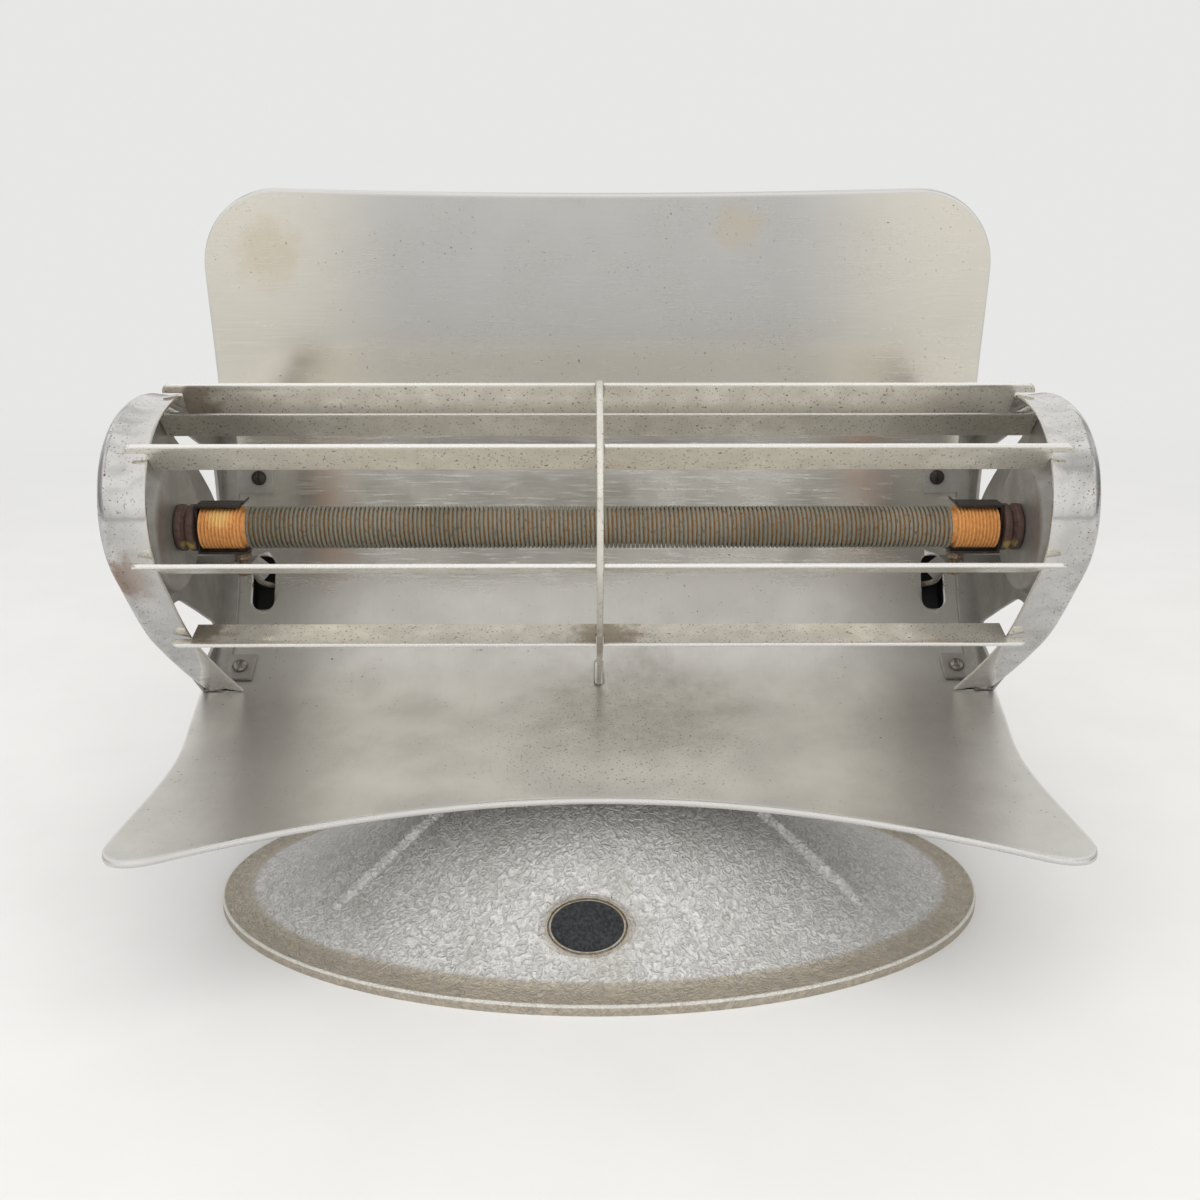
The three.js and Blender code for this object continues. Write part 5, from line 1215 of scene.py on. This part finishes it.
# ---- element
def element_rod(made):
    """The rod has fine ribs on its bare ends and a smooth core below the winding."""
    wound = ROD_HALF - ROD_BARE_END
    pitch = ROD_BARE_END / ROD_RIBS
    half = [(ROD_CORE, wound)]
    for i in range(ROD_RIBS):
        start = wound + pitch * i
        last = i == ROD_RIBS - 1
        for share in (0.08, 0.26, 0.42, 0.6, 0.76, 0.94):
            crown = math.sin(math.pi * (share - 0.08) / 0.86)
            drop = 0.5 if last and share > 0.6 else 0.0
            half.append((ROD_RADIUS - RIB_DEPTH * (1 - crown ** 0.6) - drop, start + pitch * share))
    half.append((ROD_BORE, ROD_HALF))
    other = [(radius, -along) for radius, along in reversed(half)]
    rod = Shell().add(*turned([*other, *half]), along_x(0.0, ELEMENT_Y, ELEMENT_Z))
    return rod.as_piece("element_rod_ribbed", made, "head", "fireclay", "element_rod")


def heating_winding(made):
    half = ROD_HALF - ROD_BARE_END - WINDING_END_GAP - WINDING_WIRE
    steps = WINDING_TURNS * WINDING_STEPS
    line = []
    for i in range(steps + 1):
        turn = 2 * math.pi * i / WINDING_STEPS
        line.append((
            lerp(-half, half, i / steps),
            ELEMENT_Y + WINDING_RADIUS * math.cos(turn),
            ELEMENT_Z + WINDING_RADIUS * math.sin(turn),
        ))
    winding = Shell().add(*swept(line, WINDING_WIRE, 6))
    return winding.as_piece("heating_winding_wire", made, "head", "wound_wire", "heating_winding", 60.0)


def end_cap(side, sign, made):
    """A turned cap with a groove round its waist and eased rims."""
    waist = (CAP_INNER_X + CAP_OUTER_X) / 2
    profile = eased([
        (CAP_BORE, CAP_INNER_X), (CAP_RADIUS, CAP_INNER_X), (CAP_RADIUS, waist - 0.9),
        (CAP_WAIST, waist - 0.4), (CAP_WAIST, waist + 0.6), (CAP_RADIUS, waist + 1.1),
        (CAP_RADIUS, CAP_OUTER_X), (CAP_BORE, CAP_OUTER_X),
    ], 0.8, 4)
    cap = Shell().add(*turned(profile), along_x(0.0, ELEMENT_Y, ELEMENT_Z)).mirrored(sign)
    return cap.as_piece("end_cap_turned_" + side, made, "head", "brown_insulator", "end_cap_" + side, 45.0)


def terminal_screw(side, sign, made):
    """The screw hangs from the clip's lower arm, head down."""
    under = ELEMENT_Z - CLIP_ARM_Z - CLIP_SHEET - TERMINAL_DROP
    top = ELEMENT_Z - CLIP_ARM_Z + 0.2
    profile = [(0.0, under), (TERMINAL_HEAD - 0.8, under + 0.15), (TERMINAL_HEAD, under + 0.9)]
    height = under + TERMINAL_HEAD_THICK
    profile += [(TERMINAL_HEAD, height), (TERMINAL_RADIUS, height)]
    while height < top - 0.7:
        profile += [(TERMINAL_RADIUS - 0.22, height + 0.2), (TERMINAL_RADIUS, height + 0.45)]
        height += 0.6
    profile += [(TERMINAL_RADIUS, top), (0.0, top)]
    place = Matrix.Translation((TERMINAL_X, ELEMENT_Y, 0))
    screw = Shell().add(*turned(profile, 28), place).mirrored(sign)
    name = "terminal_screw_threaded_" + side
    return screw.as_piece(name, made, "head", "plated_hardware", "terminal_screw_" + side)


def lead_route():
    slot = section.at(SLOT_S)
    behind = section.at(SLOT_S, -SHEET - 5)
    head_top = ELEMENT_Z - CLIP_ARM_Z - CLIP_SHEET - TERMINAL_DROP + TERMINAL_HEAD_THICK
    z = head_top + LEAD_RADIUS + SEAT_GAP
    return [
        (TERMINAL_X + TERMINAL_RADIUS + LEAD_RADIUS + SEAT_GAP, ELEMENT_Y + 1, z),
        (TERMINAL_X + 6, ELEMENT_Y + 14, z - 1),
        (TERMINAL_X + 10, ELEMENT_Y + 34, z - 3),
        (SLOT_X - 2, slot.x - 22, slot.y + 14),
        (SLOT_X, slot.x, slot.y),
        (SLOT_X - 7, behind.x + 2, behind.y - 1),
        (SLOT_X - 26, behind.x + 3, behind.y - 1),
        (SLOT_X / 2, behind.x + 3, behind.y - 1),
        (BLOCK_LENGTH / 2 + SEAT_GAP, behind.x + 2.5, behind.y),
    ]


def lead(side, sign, made):
    sleeve = Shell().add(*swept(catmull(lead_route(), 14), LEAD_RADIUS, 14)).mirrored(sign)
    return sleeve.as_piece("lead_sleeve_" + side, made, "head", "wire_sleeve", "lead_" + side, 60.0)


def inlet_bush(made):
    """A turned bush with a rolled flange and a rounded mouth."""
    outside = section.at(section.where(1, COVER_HIGH_Z)).x + COVER_DEPTH
    profile = eased([
        (INLET_HOLE, -6.0), (INLET_RADIUS, -6.0), (INLET_RADIUS, SEAT_GAP), (INLET_FLANGE, SEAT_GAP),
        (INLET_FLANGE * 0.88, 4.0), (INLET_HOLE, 4.0),
    ], 1.3, 5)
    place = Matrix.Translation((INLET_X, outside, INLET_Z)) @ Matrix.Rotation(-math.pi / 2, 4, "X")
    bush = Shell().add(*turned(profile), place)
    return bush.as_piece("inlet_bush_moulded", made, "head", "bush_rubber", "inlet_bush")


# ---- base
def dome_rise(share):
    return RIM_THICK + (DOME_TOP_Z - RIM_THICK) * (share - DOME_EASE * math.sin(share * math.pi * 2))


def dome_half(share):
    return (
        lerp(BASE_HALF[0] - RIM_WIDTH, DOME_TOP_HALF[0], share),
        lerp(BASE_HALF[1] - RIM_WIDTH, DOME_TOP_HALF[1], share),
    )


def rib_rise(x, y):
    """Height of the ribs above the dome's skin, with soft sides and ends that fade."""
    at = Vector((abs(x), abs(y)))
    start, end = Vector(RIB_INNER), Vector(RIB_OUTER)
    along = end - start
    share = (at - start).dot(along) / along.length_squared
    if share < -0.1 or share > 1.1:
        return 0.0
    near = start + along * clamp(share)
    side = (at - near).length
    fade = smoothstep(1 - share, -0.06, 0.22)
    return RIB_HEIGHT * fade * (1 - smoothstep(side, RIB_HALF_WIDTH * 0.3, RIB_HALF_WIDTH))


# Rim profile from the foot's edge to the dome: (inset, height, worn value, which above 1.2 also lays a
# painted highlight line on the rim's outer edge)
RIM_PROFILE = (
    (0.0, 0.0, 1.0), (0.0, 0.6, 1.0), (0.0, 2.8, 1.0), (0.15, 3.4, 2.0), (0.5, 3.8, 2.0),
    (0.9, 3.95, 1.6), (1.4, 3.85, 1.0), (3.0, 3.75, 1.0), (5.0, 3.75, 1.0), (7.0, 3.85, 1.0),
    (8.6, 4.0, 1.0), (9.6, 4.2, 0.9), (10.2, 4.5, 1.3),
)


def base_rings(steps):
    """Ovals from the foot's inner edge round the rim and up over the dome, with their worn values, which
    also carry the rim's painted highlight line.
    """
    rings = []
    for inset, height, wear in RIM_PROFILE:
        rings.append((oval(BASE_HALF[0] - inset, BASE_HALF[1] - inset, steps), height, wear))
    for share in spread(0.0, 1.0, 110):
        half = dome_half(share)
        wear = 0.85 * (1 - smoothstep(share, 0.0, 0.035))
        rings.append((oval(*half, steps), dome_rise(share) + 0.25 * (1 - share) ** 30, wear))
    return rings


def base_skin(shell, steps=640):
    """Rings up the hollow underside, round the rim and over the dome, closed at both ends."""
    mouth_x, mouth_y = dome_half(0)
    ledge = PLATE_LEDGE - DOME_WALL
    mouth = oval(mouth_x + ledge, mouth_y + ledge, steps)
    under = [(mouth, 0.0), (mouth, PLATE_THICK + SEAT_GAP)]
    for share in spread(0.0, 1.0, 10):
        half_x, half_y = dome_half(share)
        inside = oval(half_x - DOME_WALL, half_y - DOME_WALL, steps)
        under.append((inside, dome_rise(share) - DOME_WALL))
    rings = [[(x, y, height) for x, y in outline] for outline, height in reversed(under)]
    wear = [0.0] * steps * len(rings)
    for outline, height, worn in base_rings(steps):
        rise = rib_rise if height > RIM_THICK else lambda x, y: 0.0
        rings.append([(x, y, height + rise(x, y)) for x, y in outline])
        wear += [worn] * steps
    shell.add(*stacked(rings))
    shell.wear = wear


def badge_place():
    half = dome_half(BADGE_SHARE)
    step = 0.05
    upper = dome_half(BADGE_SHARE + step)
    y = -half[1] * math.sqrt(1 - (BADGE_X / half[0]) ** 2)
    tilt = math.atan2(dome_rise(BADGE_SHARE + step) - dome_rise(BADGE_SHARE), half[1] - upper[1])
    return turned_about_x(math.degrees(tilt), (BADGE_X, y, dome_rise(BADGE_SHARE)))


def oval_stack(profile, half, place, shell, wear=None, closed=False):
    """Ovals grown from a half size by (growth, height) pairs."""
    rings = []
    for grow, height in profile:
        rings.append([(x, y, height) for x, y in oval(half[0] + grow, half[1] + grow, 120)])
    shell.add(*stacked(rings, closed_stack=closed), place, wear=wear)


def badge_pad(shell):
    ring = [(SEAT_GAP, BADGE_FLOOR), (SEAT_GAP, PAD_RISE - 0.3), (SEAT_GAP + 0.3, PAD_RISE)]
    ring += [(PAD_WALL - 0.2, PAD_RISE), (PAD_WALL + 0.3, PAD_RISE - 0.5), (PAD_WALL + 1.3, 0.2)]
    ring += [(PAD_WALL + 2.6, -0.5), (PAD_WALL, -2.0), (SEAT_GAP, -2.0)]
    oval_stack(ring, BADGE_HALF, badge_place(), shell, wear=pad_wear, closed=True)


def pad_wear(point):
    return 1.0 if point.z > 0.9 else 0.25


def badge(made):
    """A bare oval badge, slightly domed, with a raised border."""
    low = BADGE_FLOOR + SEAT_GAP
    top = low + BADGE_THICK
    profile = [(-6.0, low), (-0.3, low), (0.0, low + 0.3), (0.0, top - 0.35), (-0.2, top - 0.08)]
    profile += [(-0.5, top), (-0.8, top - 0.05), (-1.1, top - 0.3), (-2.5, top - 0.3), (-4.5, top - 0.22)]
    profile += [(-7.5, top - 0.15), (-9.4, top - 0.12)]
    shell = Shell()
    oval_stack(profile, BADGE_HALF, badge_place(), shell, wear=badge_wear)
    return shell.as_piece("badge_bare_oval", made, "base", "bare_badge", "badge_plate")


def badge_wear(point):
    reach = math.hypot(point.x / BADGE_HALF[0], point.y / BADGE_HALF[1])
    return smoothstep(reach, 0.91, 0.96)


def pivot_lug(shell, sign):
    middle = sign * (LUG_INNER_X + LUG_THICK / 2)
    foot_z = DOME_TOP_Z - DOME_WALL + 1
    foot = [(PIVOT_Y - LUG_RADIUS - 3, foot_z), (PIVOT_Y + LUG_RADIUS + 3, foot_z)]
    lug = [*arc(PIVOT_Y, PIVOT_Z, LUG_RADIUS, 0, 180, 24), *foot]
    hole = [(PIVOT_Y + x, PIVOT_Z + y) for x, y in oval(PIVOT_BORE, PIVOT_BORE, 48)]
    shell.add(*flat_plate([lug, hole], LUG_THICK, 0.5), across(middle))


def base_casting(made):
    shell = Shell()
    base_skin(shell)
    badge_pad(shell)
    for _, sign in MIRRORED:
        pivot_lug(shell, sign)
    return shell.as_piece("base_casting_hammered", made, "base", "hammered_casting", "base_casting")


# ---- nodes kept in their own shape
def refine_small_nodes():
    black, plated = plain("blackened_clip"), plain("plated_hardware")
    rusted, sheet = plain("rusted_hardware"), plain("plain_sheet")
    insulator = plain("brown_insulator", *CAP_STAINS)
    eased_copy("rear_cover", 0.8, plain("cover_sheet"), "head", "plain_sheet", 3)
    eased_copy("terminal_block", 0.6, insulator, "head", "brown_insulator")
    eased_copy("tilt_yoke", 0.4, sheet, "head", "plain_sheet")
    eased_copy("bottom_plate", 0.3, plain("black_plate"), "base", "black_plate")
    eased_copy("pivot_bolt", 0.4, plated, "base")
    eased_copy("pivot_nut", 0.35, plated, "base")
    for side, sign in MIRRORED:
        eased_copy("element_clip_" + side, 0.25, black, "head", "blackened_clip")
        eased_copy("terminal_shield_" + side, 0.25, sheet, "head", "plain_sheet")
        eased_copy("cap_bolt_" + side, 0.25, plated, "head")
        eased_copy("cap_nut_" + side, 0.25, plated, "head")
        eased_copy("terminal_nut_" + side, 0.2, rusted, "head")
        eased_copy("friction_washer_" + side, 0.2, plated, "base")
        eased_copy("bottom_screw_" + side, 0.2, plated, "base")
        for label in ("upper", "lower"):
            eased_copy(f"frame_nut_{label}_{side}", 0.25, plated, "head")
        end_cap(side, sign, insulator)
        terminal_screw(side, sign, rusted)
        frame_screw("upper", side, sign, UPPER_SCREW_X, UPPER_SCREW_S, black)
        frame_screw("lower", side, sign, LOWER_SCREW_X, LOWER_SCREW_S, plated)
        cover_screw(side, sign, plated)


# ---- camera, light and stage
def add_camera():
    data = bpy.data.cameras.new("camera")
    data.lens = CAMERA_LENS
    data.sensor_width = 36.0
    data.clip_start = 0.01
    camera = linked("camera", data)
    camera.location = Vector(CAMERA_PLACE) * MM
    camera.rotation_euler = (math.radians(90 - CAMERA_PITCH), 0.0, math.radians(-CAMERA_PAN))
    bpy.context.scene.camera = camera


def add_panel(name, place, aim, width, height, power, color):
    """A soft light that faces a point; places are in metres."""
    data = bpy.data.lights.new(name, "AREA")
    data.shape = "RECTANGLE"
    data.size = width
    data.size_y = height
    data.energy = power
    data.color = color
    light = linked(name, data)
    light.visible_glossy = False
    light.location = place
    way = Vector(aim) - Vector(place)
    light.rotation_euler = way.to_track_quat("-Z", "Y").to_euler()


def floor_material():
    """A pale floor that, seen from the camera, runs into the backdrop's colour far away."""
    finish = Finish("pale_floor")
    grain = finish.noise(60.0, 3.0)
    finish.ground(grain, (0.76, 0.76, 0.755), (0.74, 0.74, 0.735))
    finish.tint(finish.ray("Is Glossy Ray"), FLOOR_IN_METAL)
    finish.done(0.8)
    far = finish.node("VectorMath", {0: finish.place}, operation="LENGTH").outputs["Value"]
    share = finish.fade(far, FLOOR_NEAR * MM, FLOOR_FAR * MM)
    share = finish.times(share, finish.ray("Is Camera Ray"))
    glow = finish.node("Emission", {"Color": BACKDROP_COLOR}).outputs[0]
    blend = finish.node("MixShader", {0: share, 1: finish.surface.outputs[0], 2: glow})
    end = finish.tree.nodes["Material Output"]
    finish.tree.links.new(blend.outputs[0], end.inputs["Surface"])
    return finish.material


def add_floor():
    half = FLOOR_HALF
    corners = ((-half, -half, 0), (half, -half, 0), (half, half, 0), (-half, half, 0))
    shell = Shell().add(corners, [(0, 1, 2, 3)])
    shell.to_object("floor", [floor_material()])


def add_world():
    """Pale to the camera; to the metal it is a dimmer room, bright ahead and dark at the sides."""
    world = bpy.data.worlds.new("room")
    bpy.context.scene.world = world
    world.use_nodes = True
    room = Nodes(world.node_tree)
    way = room.node("TexCoord", {}).outputs["Generated"]
    split = room.node("SeparateXYZ", {0: way})
    height = room.fade(split.outputs["Z"], -0.25, 0.25, 0.55)
    broad = room.node("TexNoise", {"Vector": way, "Scale": 2.2, "Detail": 1.0})
    level = room.times(height, room.fade(broad.outputs["Fac"], 0.36, 0.56, 0.5))
    ahead = room.times(room.fade(split.outputs["Y"], -0.5, -0.9), height)
    level = room.sum("MAXIMUM", level, ahead)
    beside = room.sum("ABSOLUTE", split.outputs["X"], 0.0)
    level = room.times(level, room.fade(beside, 0.7, 0.97, 1.0, 0.3))
    color = room.mix(level, ROOM_DARK, ROOM_LIGHT)
    color = room.mix(room.ray("Is Glossy Ray"), color, room.mix(GLOSSY_LEVEL, (0.0, 0.0, 0.0), color))
    color = room.mix(room.ray("Is Camera Ray"), color, BACKDROP_COLOR)
    sky = room.tree.nodes["Background"]
    room.put(sky.inputs["Color"], color)
    room.put(sky.inputs["Strength"], 1.0)


def add_lights():
    add_panel("key_panel", (0.45, -0.9, 1.5), (0.0, 0.0, 0.1), 2.4, 2.4, 21.0, (1.0, 0.985, 0.96))
    add_panel("fill_panel", (-1.1, -0.6, 0.9), (0.0, 0.0, 0.1), 1.2, 1.2, 5.0, (0.96, 0.98, 1.0))


# ---- the heater
add_camera()
add_world()
add_lights()
add_floor()
guard_finish = guard_metal()
chrome_finish = chromed_band()
dull_finish = plain("dull_frame")
sleeve_finish = wire_sleeve()
reflector()
for side, sign in MIRRORED:
    end_frame(side, sign, chrome_finish, dull_finish)
    lead(side, sign, sleeve_finish)
for name, y, z, inward in BLADES:
    guard_strip(name, blade_outline(), y, z, inward, guard_finish)
rear_rail(guard_finish)
guard_tie(guard_finish)
element_rod(plain("fireclay", ROD_STAIN))
heating_winding(plain("wound_wire"))
inlet_bush(plain("bush_rubber"))
base_casting(hammered_casting())
badge(bare_badge())
refine_small_nodes()
bpy.context.scene.view_settings.view_transform = "Standard"
